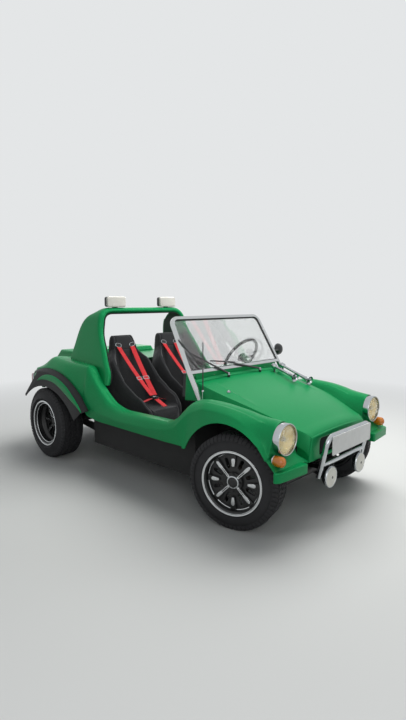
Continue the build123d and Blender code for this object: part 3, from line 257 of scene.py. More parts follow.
# Body sides: each side is one glass-fibre moulding, from the headlamp's nacelle over the front wheel,
# down to the sill that the driver steps over, and up again into the rear haunch and the tail.
# Columns: mm ahead of the front axle, then Y and Z of eight lines that run the length of the car:
# inner lip, gutter, inner flank, crest inside, crest outside, mid flank, crease and lower edge.
side_rows = [
    (-2546, (535, 578), (535, 785), (556, 784), (592, 781), (622, 776), (652, 762), (670, 748), (670, 675)),
    (-2476, (535, 578), (535, 807), (560, 804), (600, 800), (634, 793), (668, 781), (690, 770), (690, 710)),
    (-2416, (535, 578), (535, 828), (565, 825), (612, 821), (652, 812), (684, 803), (706, 797), (706, 740)),
    (-2346, (535, 560), (535, 852), (570, 849), (620, 843), (664, 832), (704, 820), (738, 812), (738, 780)),
    (-2266, (535, 560), (535, 878), (575, 878), (630, 874), (676, 864), (714, 840), (744, 820), (744, 800)),
    (-2126, (535, 560), (535, 920), (580, 926), (640, 932), (686, 922), (722, 884), (750, 838), (750, 820)),
    (-2009, (535, 560), (535, 914), (582, 919), (645, 924), (692, 914), (724, 880), (750, 840), (750, 820)),
    (-1866, (535, 560), (535, 904), (585, 907), (650, 911), (696, 902), (726, 866), (750, 824), (750, 800)),
    (-1716, (545, 600), (545, 890), (590, 898), (650, 905), (698, 894), (728, 826), (748, 758), (748, 720)),
    (-1566, (600, 850), (603, 878), (624, 892), (664, 899), (700, 880), (726, 760), (742, 642), (740, 600)),
    (-1536, (610, 830), (610, 868), (628, 884), (668, 882), (702, 858), (732, 740), (744, 612), (738, 500)),
    (-1470, (612, 740), (612, 790), (624, 806), (672, 806), (700, 790), (726, 690), (742, 571), (722, 470)),
    (-1402, (612, 680), (612, 726), (624, 738), (675, 740), (700, 728), (724, 650), (737, 540), (715, 458)),
    (-1320, (612, 612), (612, 660), (624, 672), (675, 674), (700, 663), (722, 610), (734, 530), (715, 454)),
    (-1220, (612, 560), (612, 604), (624, 616), (675, 618), (700, 609), (722, 572), (733, 520), (715, 452)),
    (-1066, (612, 530), (612, 576), (624, 588), (675, 590), (700, 582), (722, 556), (733, 514), (715, 452)),
    (-740, (612, 534), (612, 584), (624, 595), (675, 597), (700, 589), (722, 568), (733, 520), (715, 454)),
    (-560, (612, 540), (612, 588), (624, 600), (676, 603), (702, 598), (722, 580), (733, 545), (715, 456)),
    (-470, (612, 560), (612, 606), (620, 622), (668, 634), (696, 632), (716, 614), (731, 572), (718, 460)),
    (-428, (604, 590), (604, 640), (606, 660), (650, 672), (684, 668), (708, 648), (729, 602), (722, 462)),
    (-414, (512, 715), (552, 728), (566, 728), (600, 716), (670, 694), (702, 664), (726, 616), (726, 464)),
    (-366, (509, 736), (548, 744), (564, 752), (592, 756), (640, 748), (684, 716), (712, 668), (735, 470)),
    (-300, (506, 738), (544, 744), (562, 764), (588, 780), (630, 778), (674, 750), (703, 708), (735, 500)),
    (-206, (503, 730), (540, 742), (560, 770), (586, 790), (628, 789), (670, 770), (700, 741), (735, 620)),
    (-106, (492, 714), (530, 728), (552, 764), (580, 786), (625, 786), (668, 768), (700, 744), (735, 680)),
    (-6, (479, 696), (518, 708), (544, 750), (576, 776), (622, 777), (666, 760), (700, 739), (735, 690)),
    (84, (458, 668), (494, 680), (524, 728), (564, 762), (616, 763), (662, 744), (700, 722), (735, 680)),
    (164, (436, 640), (470, 646), (504, 702), (552, 744), (611, 746), (660, 722), (700, 690), (735, 657)),
    (224, (418, 610), (458, 612), (490, 680), (542, 737), (609, 739), (662, 700), (700, 650), (735, 624)),
    (284, (384, 512), (448, 566), (480, 655), (534, 733), (609, 733), (664, 676), (700, 596), (735, 573)),
    (319, (374, 458), (436, 500), (474, 636), (531, 730), (608, 730), (665, 660), (703, 500), (735, 470)),
]
arch_ahead, arch_z, arch_r = 10, 310, 380
rear_arch_ahead, rear_arch_z, rear_arch_r = 60 - wheelbase, 80, 752
haunch_front_ahead, tail_ahead = -1566, -2546
corner_cuts = [0, 14, 34, 60, 60, 90, 10, 0]
lamp_plane_ahead, apron_top_z, apron_low_z, ledge_back_ahead = 319, 526, 468, 386


def apron(z):
    """How far ahead the nacelle's front reaches at a height: upright behind the lamp, sloping out below it."""
    slope = (apron_top_z - z) / (apron_top_z - apron_low_z)
    return lamp_plane_ahead + (ledge_back_ahead - lamp_plane_ahead) * min(max(slope, 0), 1)


def lower_edge(ahead, z):
    """The side's lower edge, cut by the two wheel arches."""
    for centre, centre_z, radius in ((arch_ahead, arch_z, arch_r), (rear_arch_ahead, rear_arch_z, rear_arch_r)):
        in_reach = ahead > -1000 if centre == arch_ahead else ahead <= haunch_front_ahead
        if in_reach and abs(ahead - centre) < radius:
            z = max(z, centre_z + sqrt(radius ** 2 - (ahead - centre) ** 2))
    return z


side_ahead = [row[0] for row in side_rows]
arch_places = [arch_ahead + arch_r * cos(radians(turn)) for turn in range(0, 181, 4)]
arch_places += [rear_arch_ahead + rear_arch_r * cos(radians(turn)) for turn in range(0, 181, 4)]
side_places = set(np.linspace(tail_ahead, 319, 150)) | {p for p in arch_places if tail_ahead < p < 310}
side_places |= {-414, -421, -428, haunch_front_ahead, haunch_front_ahead + 6}
side_places = sorted(side_places)
side_lines = flow(side_ahead, [row[1:] for row in side_rows], side_places)
wall = []
for ahead, lines in zip(side_places, side_lines):
    lines[7][1] = lower_edge(ahead, 0 if arch_ahead - arch_r < ahead < 260 else lines[7][1])
    lines[7][1] = max(lines[7][1], 456)
    lines[6][1] = max(lines[6][1], lines[7][1] + 8)
    reach = apron if ahead > 318 else (lambda z, ahead=ahead: ahead)
    wall.append(eased([at(ahead, y, z) for y, z in lines], corner_cuts, steps=5))
# The tail's end wall, which the lamps stand on, drops from the haunch's rear edge.
tail_wall = []
for p in wall[0]:
    y, z = p.y / mm, p.z / mm
    tail_wall.append(at(tail_ahead, min(y, 664), min(z, 580 if y < 598 else 680)))
wall.insert(0, tail_wall)
# The nacelle's front: a rounded rim, then the face behind the lamp and the apron that slopes out to the ledge.
lamp_y = 570
nacelle_rim, inner_y, outer_y = wall[-1], 374, 735
for draw_in, ahead_by, down_to in ((0, 8, 900), (3, 12, 900), (12, 14, 900), (14, 14, 529), (14, 14, 510), (14, 14, 464)):
    rim = []
    for p in nacelle_rim:
        y, z = p.y / mm, min(p.z / mm - draw_in * 0.6, down_to)
        inset_y = min(max(y, inner_y + draw_in), outer_y - draw_in)
        rim.append(at(apron(z) - 14 + ahead_by, inset_y, z))
    wall.append(rim)
side_left = put("body_side_wall_left", sheet_mesh("body_side_wall", wall, inside=at(-900, 400, 300)), gelcoat)
finish_shape(side_left, wall=5, bevel=2.5, segments=2, angle=40)
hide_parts("front_fender_left", "body_side_left", "rear_fender_left")
side_right = other_side(side_left, "body_side_wall_right")
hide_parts("front_fender_right", "body_side_right", "rear_fender_right")

# Ledges: the thick rounded lips under the nacelles, moulded with the body, that close each front
# corner ahead of the wheel.
ledge_outline = [(374, 731), (388, 730), (402, 717), (410, 698), (431, 462), (426, 450), (386, 448), (374, 462)]
ledge_low, ledge_top = 409, 470
ledge_mesh = bpy.data.meshes.new("ledge")
shape = bmesh.new()
corners = [shape.verts.new(at(ahead, y, ledge_low)) for ahead, y in ledge_outline]
face = shape.faces.new(corners)
raised = bmesh.ops.extrude_face_region(shape, geom=[face])
for vertex in (v for v in raised["geom"] if isinstance(v, bmesh.types.BMVert)):
    vertex.co.z = ledge_top * mm
bmesh.ops.recalc_face_normals(shape, faces=shape.faces)
shape.to_mesh(ledge_mesh)
shape.free()
ledge_left = put("front_ledge_left", ledge_mesh, gelcoat)
finish_shape(ledge_left, bevel=12, segments=5, angle=20)
ledge_right = other_side(ledge_left, "front_ledge_right")

# Nose: the upright front of the body, joined to the lid's lip, with rounded corner posts beside the
# wide recess that lets air to the tank.
recess_half, recess_low, recess_top, recess_round = 250, 462, 572, 26
nose_outline = [(343, 596), (362, 520), (372, 470), (366, 442), (-366, 442), (-372, 470), (-362, 520), (-343, 596)]


def flat_plate(name, outlines, thickness, round_edge, plane):
    """A plate with rounded edges from closed outlines in mm, the later ones holes, placed by a matrix."""
    curve = bpy.data.curves.new(name, "CURVE")
    curve.dimensions, curve.fill_mode = "2D", "BOTH"
    curve.extrude, curve.bevel_depth = (thickness / 2 - round_edge) * mm, round_edge * mm
    curve.bevel_resolution, curve.offset = 2, -round_edge * mm
    for outline in outlines:
        spline = curve.splines.new("POLY")
        spline.points.add(len(outline) - 1)
        spline.use_cyclic_u = True
        for point, (u, v) in zip(spline.points, outline):
            point.co = (u * mm, v * mm, 0, 1)
    holder = bpy.data.objects.new(name, curve)
    bpy.context.scene.collection.objects.link(holder)
    mesh = bpy.data.meshes.new_from_object(holder.evaluated_get(bpy.context.evaluated_depsgraph_get()))
    bpy.data.objects.remove(holder)
    shape = bmesh.new()
    shape.from_mesh(mesh)
    bmesh.ops.remove_doubles(shape, verts=shape.verts, dist=0.00002)
    bmesh.ops.recalc_face_normals(shape, faces=shape.faces)
    shape.to_mesh(mesh)
    shape.free()
    mesh.transform(plane)
    return mesh


def rounded_box(half_u, half_v, radius, centre=(0, 0), steps=6):
    """The outline of a rectangle with round corners, in mm."""
    outline = []
    for quarter, (su, sv) in enumerate(((1, 1), (-1, 1), (-1, -1), (1, -1))):
        for k in range(steps + 1):
            turn = radians(90 * (quarter + k / steps))
            outline.append((centre[0] + su * (half_u - radius) + radius * cos(turn),
                            centre[1] + sv * (half_v - radius) + radius * sin(turn)))
    return outline


def facing(ahead, y=0, z=0):
    """A matrix that stands a flat shape across the car: its X to the left, its Y up, its Z forward."""
    return Matrix.Translation(at(ahead, y, z)) @ Matrix(((0, 0, 1, 0), (1, 0, 0, 0), (0, 1, 0, 0), (0, 0, 0, 1)))


crown = [(y, 611 - 13 * (y / 343) ** 2) for y in np.linspace(-320, 320, 21)]
recess = rounded_box(recess_half, (recess_top - recess_low) / 2, recess_round, (0, (recess_top + recess_low) / 2))
nose_mesh = flat_plate("nose_surround", [crown + nose_outline, recess], 24, 9, facing(377))
nose = put("nose_surround", nose_mesh, gelcoat)
finish_shape(nose)
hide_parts("nose_panel")
# Cheeks: flanges that run back from the nose's lower corners and close the gap beside the nacelles.
cheek_rows = [[at(ahead, y - 0.05 * (ahead - 296), z) for y, z in ((377, 446), (374, 484), (366, 520), (356, 560))]
              for ahead in (296, 336, 376)]
cheek_left = put("nose_cheek_left", sheet_mesh("nose_cheek", cheek_rows, inside=at(336, 0, 500)), gelcoat)
finish_shape(cheek_left, wall=4)
cheek_right = other_side(cheek_left, "nose_cheek_right")

# Rear deck, engine cover and rear strips: the deck between the haunches and the raised lid over the
# engine are mouldings with rolled edges. The strips are glass-fibre crescents outboard of the tyres.


def softened(name, node, material, bevel, body="root", segments=3, angle=30):
    """A copy of a hard CAD node with its edges rounded, standing for the node."""
    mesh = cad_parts[node].data.copy()
    shape = bmesh.new()
    shape.from_mesh(mesh)
    bmesh.ops.remove_doubles(shape, verts=shape.verts, dist=0.00002)
    bmesh.ops.dissolve_limit(shape, angle_limit=radians(1), verts=shape.verts, edges=shape.edges)
    bmesh.ops.recalc_face_normals(shape, faces=shape.faces)
    shape.to_mesh(mesh)
    shape.free()
    piece = put(name, mesh, material, body)
    finish_shape(piece, bevel=bevel, segments=segments, angle=angle)
    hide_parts(node)
    return piece


softened("tail_deck", "rear_deck", gelcoat, 3)
softened("engine_lid", "engine_cover", gelcoat, 3)

strip_rows = [(-64, 714, 720), (-30, 722, 744), (9, 731, 764), (74, 736, 784), (144, 735, 791), (203, 729, 789),
              (270, 711, 779), (326, 690, 764), (409, 648, 731), (442, 632, 713), (503, 601, 670), (554, 576, 634),
              (593, 557, 603), (640, 535, 560), (658, 527, 534)]
strip = []
for ahead, low, high in strip_rows:
    span = high - low
    profile = [(807, low), (812, low + 0.12 * span), (815.8, low + 0.45 * span), (815.4, low + 0.75 * span),
               (812, high - 0.08 * span), (807, high)]
    strip.append([at(ahead - wheelbase, y, z) for y, z in profile])
strip_left = put("arch_strip_left", sheet_mesh("arch_strip", strip, inside=at(300 - wheelbase, 700, 690)), gelcoat)
finish_shape(strip_left, wall=3, bevel=1, segments=2, levels=1)
strip_right = other_side(strip_left, "arch_strip_right")
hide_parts("rear_flares")

# Hoop: the glass-fibre arch behind the seats with its wide fins, green outside, with a rolled lip
# along its front edge and a black trim sheet glued inside.
hoop_top, hoop_top_half, hoop_foot_half, hoop_foot_z, hoop_wall, hoop_round = 1378, 492, 628, 742, 50, 110
# Columns: Z, then the front and the rear edge as mm ahead of the rear axle.
hoop_edges = [(742, 770, 125), (800, 768, 127), (850, 752, 130), (915, 708, 143), (992, 664, 167),
              (1070, 620, 190), (1139, 576, 208), (1215, 545, 237), (1260, 538, 268), (1320, 526, 323),
              (1358, 514, 380), (1378, 508, 392)]


def arch_line(inset, low_z):
    """The hoop's outline across the car, from its right foot over the top to the left one."""
    slope = (hoop_foot_half - hoop_top_half) / (hoop_top - hoop_foot_z)
    foot = (hoop_foot_half - inset - slope * (low_z - hoop_foot_z), low_z)
    top = (hoop_top_half - inset, hoop_top - inset)
    legs = [(foot[0] + (top[0] - foot[0]) * k / 22, foot[1] + (top[1] - foot[1]) * k / 22) for k in range(23)]
    outline = [Vector((-y, z, 0)) for y, z in legs] + [Vector((y, z, 0)) for y, z in reversed(legs)]
    cut = (hoop_round - inset * 0.6) * 1.1
    rounded = []
    for i, p in enumerate(outline):
        if i in (22, 23) or (22 - cut / 26 < i < 23 + cut / 26 and abs(p.y - top[1]) < cut * 0.9):
            continue
        rounded.append(p)
    left = [p for p in rounded if p.x < 0]
    right = [p for p in rounded if p.x > 0]
    top_left, top_right = Vector((-top[0], top[1], 0)), Vector((top[0], top[1], 0))
    flat_left, flat_right = top_left + Vector((cut, 0, 0)), top_right - Vector((cut, 0, 0))
    bend = lambda a, c, b: [a * (1 - t) ** 2 + c * 2 * t * (1 - t) + b * t ** 2 for t in np.linspace(0, 1, 13)[1:]]
    flat = [flat_left.lerp(flat_right, k / 24) for k in range(1, 24)]
    return left + bend(left[-1], top_left, flat_left) + flat + [flat_right] \
        + bend(flat_right, top_right, right[0])[:-1] + right


outer_arch, inner_arch = arch_line(0, hoop_foot_z), arch_line(hoop_wall, hoop_foot_z)
edge_z, edge_x = [row[0] for row in hoop_edges], [row[1:] for row in hoop_edges]
hoop_rows, lining_rows = [], []
for outer, inner in zip(outer_arch, inner_arch):
    front, rear = flow(edge_z, edge_x, [outer.y])[0]
    sink = 20 * min(max((outer.y - 1260) / 110, 0), 1)
    lip = outer.lerp(inner, 0.5)
    crest_x = min(436, front - 60)
    loop = [(rear + 4, outer, sink), ((rear + crest_x) / 2, outer, sink * 0.4), (crest_x, outer, 0),
            (front - 30, outer, 0), (front, lip, 0), (front - 22, inner, 0), (front - 60, inner, 0),
            ((rear + front) / 2, inner, 0), (rear, inner, 0)]
    loop = [at(ahead - wheelbase, p.x, p.y - down) for ahead, p, down in loop]
    hoop_rows.append(eased(loop, [6, 30, 30, 16, 26, 14, 20, 30, 6], steps=4, closed=True))
    trim = inner.lerp(Vector((0, inner.y - 40, 0)), 2.5 / max(inner.length, 1))
    lining_rows.append([at(ahead - wheelbase, trim.x, trim.y - 2) for ahead in (rear + 14, (rear + front) / 2,
                                                                             front - 40)])
hoop = put("hoop_shell", sheet_mesh("hoop_shell", hoop_rows, inside=at(300 - wheelbase, 0, 1000), closed=True), gelcoat)
finish_shape(hoop)
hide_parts("hoop")

# Trim sheet of black vinyl: fine leather grain, nearly dull.
vinyl, tree, shader, place = start_material("black_grained_vinyl", "#17181A", 0.62, Sheen_Weight=0.1)
grain = add_node(tree, "ShaderNodeTexVoronoi", {"Vector": place, "Scale": per_metre(3.2)}, feature="F2")
cloud = add_node(tree, "ShaderNodeTexNoise", {"Vector": place, "Scale": per_metre(90), "Detail": 3.0})
two_tones(tree, shader, "#131415", "#1E1F21", cloud.outputs["Fac"])
relief(tree, shader, grain.outputs["Distance"], 0.5, 0.5)
lining = put("hoop_lining", sheet_mesh("hoop_lining", lining_rows, inside=at(300 - wheelbase, 0, 2500)), vinyl)
finish_shape(lining, wall=1.5)

# Windscreen: an aluminium channel bent round the pane and polished, its legs bolted to the fenders.
# The laminated glass sits in a black rubber gasket.
screen_foot_ahead, screen_foot_z, screen_back, screen_up = -497, 927, -222, 379
screen_length = sqrt(screen_back ** 2 + screen_up ** 2)
lean_back, lean_up = screen_back / screen_length, screen_up / screen_length
screen_plane = Matrix.Translation(at(screen_foot_ahead, 0, screen_foot_z)) @ Matrix(
    ((0, lean_back, lean_up, 0), (1, 0, 0, 0), (0, lean_up, -lean_back, 0), (0, 0, 0, 1)))
screen_foot_half, screen_top_half, screen_round, frame_width = 545, 521, 70, 24


def screen_outline(inset):
    """The windscreen's outline in its own plane in mm, its upper corners rounded, drawn in by an inset."""
    half_low, half_top = screen_foot_half - inset, screen_top_half - inset
    low, top = inset - 12, screen_length + 12 - inset
    corners = [(-half_low, low), (half_low, low), (half_top, top), (-half_top, top)]
    cut = (screen_round - inset * 0.9) * 1.05
    line = eased([(u * mm, v * mm, 0) for u, v in corners], [6, 6, cut, cut], steps=10, closed=True)
    return [(p.x / mm, p.y / mm) for p in line]


# Aluminium polished along the channel: a thin brushed grain that dulls the gloss a little.
aluminium, tree, shader, place = start_material("polished_aluminium", "#D0D2D3", 0.24, Metallic=1.0)
brushing = add_node(tree, "ShaderNodeMapping", {"Vector": place, "Scale": (900, 40, 900)})
scuffs = add_node(tree, "ShaderNodeTexNoise", {"Vector": brushing.outputs[0], "Scale": 1.0, "Detail": 3.0})
two_tones(tree, shader, "#BFC2C3", "#DADCDC", scuffs.outputs["Fac"])
relief(tree, shader, scuffs.outputs["Fac"], 0.02, 0.5)
softened("screen_frame", "windscreen_frame", aluminium, 3)

# Black moulded rubber: dull, with a fine mould grain and a bloom of grey.
rubber, tree, shader, place = start_material("moulded_rubber", "#18191A", 0.7)
bloom = add_node(tree, "ShaderNodeTexNoise", {"Vector": place, "Scale": per_metre(35), "Detail": 4.0})
mould = add_node(tree, "ShaderNodeTexNoise", {"Vector": place, "Scale": per_metre(1.2), "Detail": 1.0})
two_tones(tree, shader, "#131415", "#212223", bloom.outputs["Fac"])
relief(tree, shader, mould.outputs["Fac"], 0.08, 0.5)
trim_rows = []
for outer, inner in zip(outer_arch, inner_arch):
    front, away = flow(edge_z, edge_x, [outer.y])[0][0], (outer - inner).normalized()
    trim_rows.append([at(front - 20 + 6 * cos(t) - wheelbase, inner.x + away.x * (6 * sin(t) - 2),
                         inner.y + away.y * (6 * sin(t) - 2)) for t in np.linspace(0, 2 * np.pi, 13)[:-1]])
trim = finish_shape(put("hoop_edge_trim", sheet_mesh("hoop_edge_trim", trim_rows, closed=True), rubber))
shape = bmesh.new()
shape.from_mesh(trim.data)
bmesh.ops.holes_fill(shape, edges=shape.edges)
bmesh.ops.recalc_face_normals(shape, faces=shape.faces)
shape.to_mesh(trim.data)
shape.free()
gasket_mesh = flat_plate("screen_gasket", [screen_outline(20), screen_outline(31)], 14, 3, screen_plane)
gasket = finish_shape(put("screen_gasket", gasket_mesh, rubber))
# The seal below the frame is moulded in the body's colour.
softened("scuttle_seal", "screen_seal", gelcoat, 2)

# Laminated glass, clear with a green tint at its edge. It lets most light straight through.
pane_glass, tree, shader, place = start_material("laminated_glass", "#E8F3EE", 0.02, Transmission_Weight=1.0,
                                                 IOR=1.5, Alpha=0.3)
film = add_node(tree, "ShaderNodeTexNoise", {"Vector": place, "Scale": per_metre(220), "Detail": 2.0})
two_tones(tree, shader, "#E2EFE9", "#F0F7F4", film.outputs["Fac"])
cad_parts["windscreen_glass"].data.materials.clear()
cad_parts["windscreen_glass"].data.materials.append(pane_glass)

# Wipers: two sprung arms of black painted steel, their rubber blades parked on the glass, each on a
# chromed spindle through the cowl.
black_steel, tree, shader, place = start_material("black_painted_steel", "#141516", 0.38, Coat_Weight=0.2)
dust = add_node(tree, "ShaderNodeTexNoise", {"Vector": place, "Scale": per_metre(28), "Detail": 5.0})
two_tones(tree, shader, "#101112", "#1F2021", dust.outputs["Fac"])
relief(tree, shader, dust.outputs["Fac"], 0.2, 0.3)

# Bright chrome on smoothed brass and steel, with the faint haze of wiping.
chrome, tree, shader, place = start_material("bright_chrome", "#BEC1C4", 0.07, Metallic=1.0)
haze = add_node(tree, "ShaderNodeTexNoise", {"Vector": place, "Scale": per_metre(60), "Detail": 4.0})
two_tones(tree, shader, "#AEB2B5", "#CCCFD1", haze.outputs["Fac"])
gloss = add_node(tree, "ShaderNodeMapRange", {"Value": haze.outputs["Fac"], "To Min": 0.04, "To Max": 0.13})
tree.links.new(gloss.outputs[0], shader.inputs["Roughness"])


def turned(name, profile, place, steps=48, cuts=None):
    """A body of revolution from a closed (radius, height) profile in mm, standing on a matrix's Z."""
    line = [Vector((r * mm, 0, h * mm)) for r, h in profile]
    if cuts:
        line = eased(line, cuts if isinstance(cuts, list) else [cuts] * len(line), steps=3, closed=True)
    rows = []
    for k in range(steps + 1):
        turn = 2 * np.pi * k / steps
        rows.append([Vector((p.x * cos(turn), p.x * sin(turn), p.z)) for p in line])
    mesh = sheet_mesh(name, rows, closed=True)
    shape = bmesh.new()
    shape.from_mesh(mesh)
    bmesh.ops.remove_doubles(shape, verts=shape.verts, dist=0.00002)
    bmesh.ops.dissolve_degenerate(shape, edges=shape.edges, dist=0.00002)
    bmesh.ops.recalc_face_normals(shape, faces=shape.faces)
    shape.to_mesh(mesh)
    shape.free()
    mesh.transform(place)
    return mesh


def along(start, end, roll=(0, 0, 1)):
    """A matrix at start whose Z points to end."""
    run = (Vector(end) - Vector(start)).normalized()
    side = Vector(roll).cross(run)
    side = side.normalized() if side.length > 0.01 else Vector((0, 1, 0))
    turn = Matrix((side, run.cross(side), run)).transposed()
    return Matrix.Translation(Vector(start)) @ turn.to_4x4()


def joined(name, meshes, material, body="root"):
    """One piece from several meshes."""
    shape = bmesh.new()
    for mesh in meshes:
        shape.from_mesh(mesh)
    whole = bpy.data.meshes.new(name)
    shape.to_mesh(whole)
    shape.free()
    piece = finish_shape(put(name, whole, material, body))
    return piece


softened("wiper_arms", "wipers", black_steel, 0.8, segments=2)
wiper_rows = [(-162, (-528, 260), (-413, 26)), (225, (-296, 69), (-33, 33))]
spindle_ahead, spindle_z = -452, 893
spindles, bridges = [], []
for pivot_y, tip, heel in wiper_rows:
    spindles.append(turned("spindle", [(0, 0), (13, 0), (13, 4), (9, 8), (9, 14), (6, 18), (0, 19)],
                           Matrix.Translation(at(spindle_ahead, pivot_y, spindle_z - 10)), 24))
    tip, heel = Vector((*tip, 0)), Vector((*heel, 0))
    for share in (0.2, 0.5, 0.8):
        p = tip.lerp(heel, share)
        turn = Matrix.Rotation(np.arctan2(heel.y - tip.y, heel.x - tip.x), 4, "Z")
        clip = flat_plate("clip", [rounded_box(11, 3.4, 1.5)], 4, 1, Matrix.Translation((p.x * mm, p.y * mm, 19 * mm)) @ turn)
        clip.transform(screen_plane)
        bridges.append(clip)
joined("wiper_spindles", spindles, chrome)
joined("wiper_clips", bridges, black_steel)

# Horns: two chromed brass trumpets on short posts on the cowl, each a spun bell on its compressor drum.
horn_rows = [(-424, 385, 897, -181, 330, 834), (-412, 490, 893, -116, 440, 803)]
bells, posts = [], []
for rear_ahead, rear_y, rear_z, mouth_ahead, mouth_y, mouth_z in horn_rows:
    start, end = at(rear_ahead, rear_y, rear_z), at(mouth_ahead, mouth_y, mouth_z)
    long = (end - start).length / mm
    bell = [(0, -20), (20, -20), (22, -18), (22, 10), (20, 13), (10, 19), (10, 24), (12, long * 0.6), (14.5, long * 0.8),
            (20, long * 0.9), (28, long * 0.97), (35.5, long - 1), (36, long), (34, long - 1), (26, long * 0.965),
            (18, long * 0.89), (11, long * 0.78), (7, long * 0.6), (0, long * 0.58)]
    bells.append(turned("bell", bell, along(start, end), 40, 1.5))
    posts.append(turned("post", [(0, -52), (13, -52), (13, -48), (7, -44), (7, -8), (0, -8)],
                        Matrix.Translation(start), 24, 1))
bells = joined("trumpet_bells", bells, chrome)
joined("trumpet_posts", posts, black_steel)
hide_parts("horns")

# Aerial: a black whip screwed into a chromed ball joint on the right fender.
aerial_ahead, aerial_y, aerial_base_z = -340, -560, 735
foot = [(0, 0), (9, 0), (9, 3), (5.5, 6), (5.5, 76), (7.5, 82), (9, 88), (7.5, 94), (3.4, 98), (0, 98)]
whip = [(0, 96), (4.4, 96), (4.2, 108), (3.8, 300), (3.4, 414), (4.2, 418), (4.2, 423), (0, 424.5)]
aerial_place = Matrix.Translation(at(aerial_ahead, aerial_y, aerial_base_z))
joined("aerial_foot", [turned("foot", foot, aerial_place, 24)], chrome)
aerial = joined("aerial_whip", [turned("whip", whip, aerial_place, 24)], black_steel)
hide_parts("aerial")

# Mirror: a round black cup with a chromed band, on an arm that is clamped to the screen frame, its glass towards the driver.
mirror_ahead, mirror_y, mirror_z = -588, 650, 1011
mirror_place = Matrix.Translation(at(mirror_ahead, mirror_y, mirror_z)) @ facing(0).to_3x3().to_4x4()
cup = [(0, 48), (12, 47.5), (28, 43), (42, 33), (50, 18), (52, 5), (51.5, 0), (48, 0), (47.5, 3), (0, 3)]
arm_start, arm_end = at(mirror_ahead + 40, 530, mirror_z), at(mirror_ahead + 40, 612, mirror_z)
arm = [(0, 0), (11, 0), (11, 8), (7, 11), (7, 78), (0, 80)]
mirror = joined("mirror_cup", [turned("cup", cup, mirror_place, 48, 1.5), turned("arm", arm, along(arm_start, arm_end), 24, 1)],
                black_steel)
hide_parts("mirror_head")
band = turned("band", [(50.6, -0.0), (52, 0), (52, 7), (51.2, 8), (50.6, 7)], mirror_place, 64)
joined("mirror_band", [band], chrome)
mirror_glass, tree, shader, place = start_material("silvered_glass", "#E3E6E8", 0.02, Metallic=1.0)
silver = add_node(tree, "ShaderNodeTexNoise", {"Vector": place, "Scale": per_metre(50), "Detail": 2.0})
two_tones(tree, shader, "#DDE1E4", "#EAECEE", silver.outputs["Fac"])
pane = finish_shape(put("mirror_pane", turned("pane", [(0, 1), (46, 1), (47, 1.8), (47, 3.2), (0, 3.2)], mirror_place), mirror_glass))

# Catches, nozzles: small chromed fittings on the lid and the cowl.
small = []
for y in (-290, 333):
    small.append(turned("nozzle", [(0, 0), (9, 0), (9, 3), (6, 5), (5, 11), (2, 13), (0, 13)],
                        Matrix.Translation(at(-492, y, 893)), 24, 1))
for side in (-1, 1):
    small.append(turned("catch_cup", [(0, 0), (15, 0), (15, 3), (11, 5), (11, 9), (7, 13), (0, 14)],
                        Matrix.Translation(at(-243, side * 404, 808)), 28, 1))
joined("chrome_fittings", small, chrome)

# Headlamps: a deep chromed rim around a spun reflector bowl, closed by fluted glass that bulges forward.
lamp_z, lamp_r = 627, 98
rims, bowls, glasses, bulbs = [], [], [], []
for side in (-1, 1):
    lamp_place = facing(lamp_plane_ahead, side * lamp_y, lamp_z)
    rims.append(turned("rim", [(98, 0), (98, 38), (97.4, 42), (95.6, 45.2), (93, 46), (91, 44.6), (90.2, 41),
                               (90.2, 26), (92, 22), (92, 0)], lamp_place, 72, 2.5))
    bowls.append(turned("bowl", [(91, 27), (84, 21), (69, 12), (48, 5), (25, 2), (0, 1.5), (0, 0.5), (25, 0.8), (49, 3.5),
                                 (70.5, 10.5), (86, 19.5), (91.5, 25)], lamp_place, 64))
    bulbs.append(turned("bulb", [(0, 1), (16, 1), (16, 8), (9, 9), (9, 17), (6, 23), (0, 25)], lamp_place, 32, 1.5))
    outer = [(90, 29), (89.6, 31)] + [(89 * sin(t), 31 + 18.5 * (cos(t * 1.02) if t < 1.5 else 0)) for t in
                                      np.linspace(1.5, 0, 14)]
    glasses.append(turned("glass", outer + [(r * 0.965, h - 3.2) for r, h in reversed(outer[2:])] + [(86, 28)],
                          lamp_place, 64))
rims = joined("headlamp_rims", rims, chrome)
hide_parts("headlamp_bezels")
# Aluminised reflector with the warm tint of its bulb's light.
reflector, tree, shader, place = start_material("aluminised_reflector", "#E0C878", 0.2, Metallic=1.0)
facets = add_node(tree, "ShaderNodeTexVoronoi", {"Vector": place, "Scale": per_metre(18)})
two_tones(tree, shader, "#CDAE55", "#F3E6B4", facets.outputs["Distance"])
joined("headlamp_bowls", bowls, reflector)
joined("headlamp_bulbs", bulbs, chrome)
# Pressed lamp glass with upright flutes 9 mm apart.
lamp_glass, tree, shader, place = start_material("fluted_lamp_glass", "#F6F5EE", 0.05, Transmission_Weight=1.0,
                                                 IOR=1.5, Alpha=0.55)
flutes = add_node(tree, "ShaderNodeTexWave", {"Vector": place, "Scale": per_metre(9 * 6.2832) * 6.2832 / 20},
                  bands_direction="Y")
relief(tree, shader, flutes.outputs["Fac"], 1.2, 0.8)
glasses = joined("headlamp_glasses", glasses, lamp_glass)
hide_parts("headlamp_lenses")

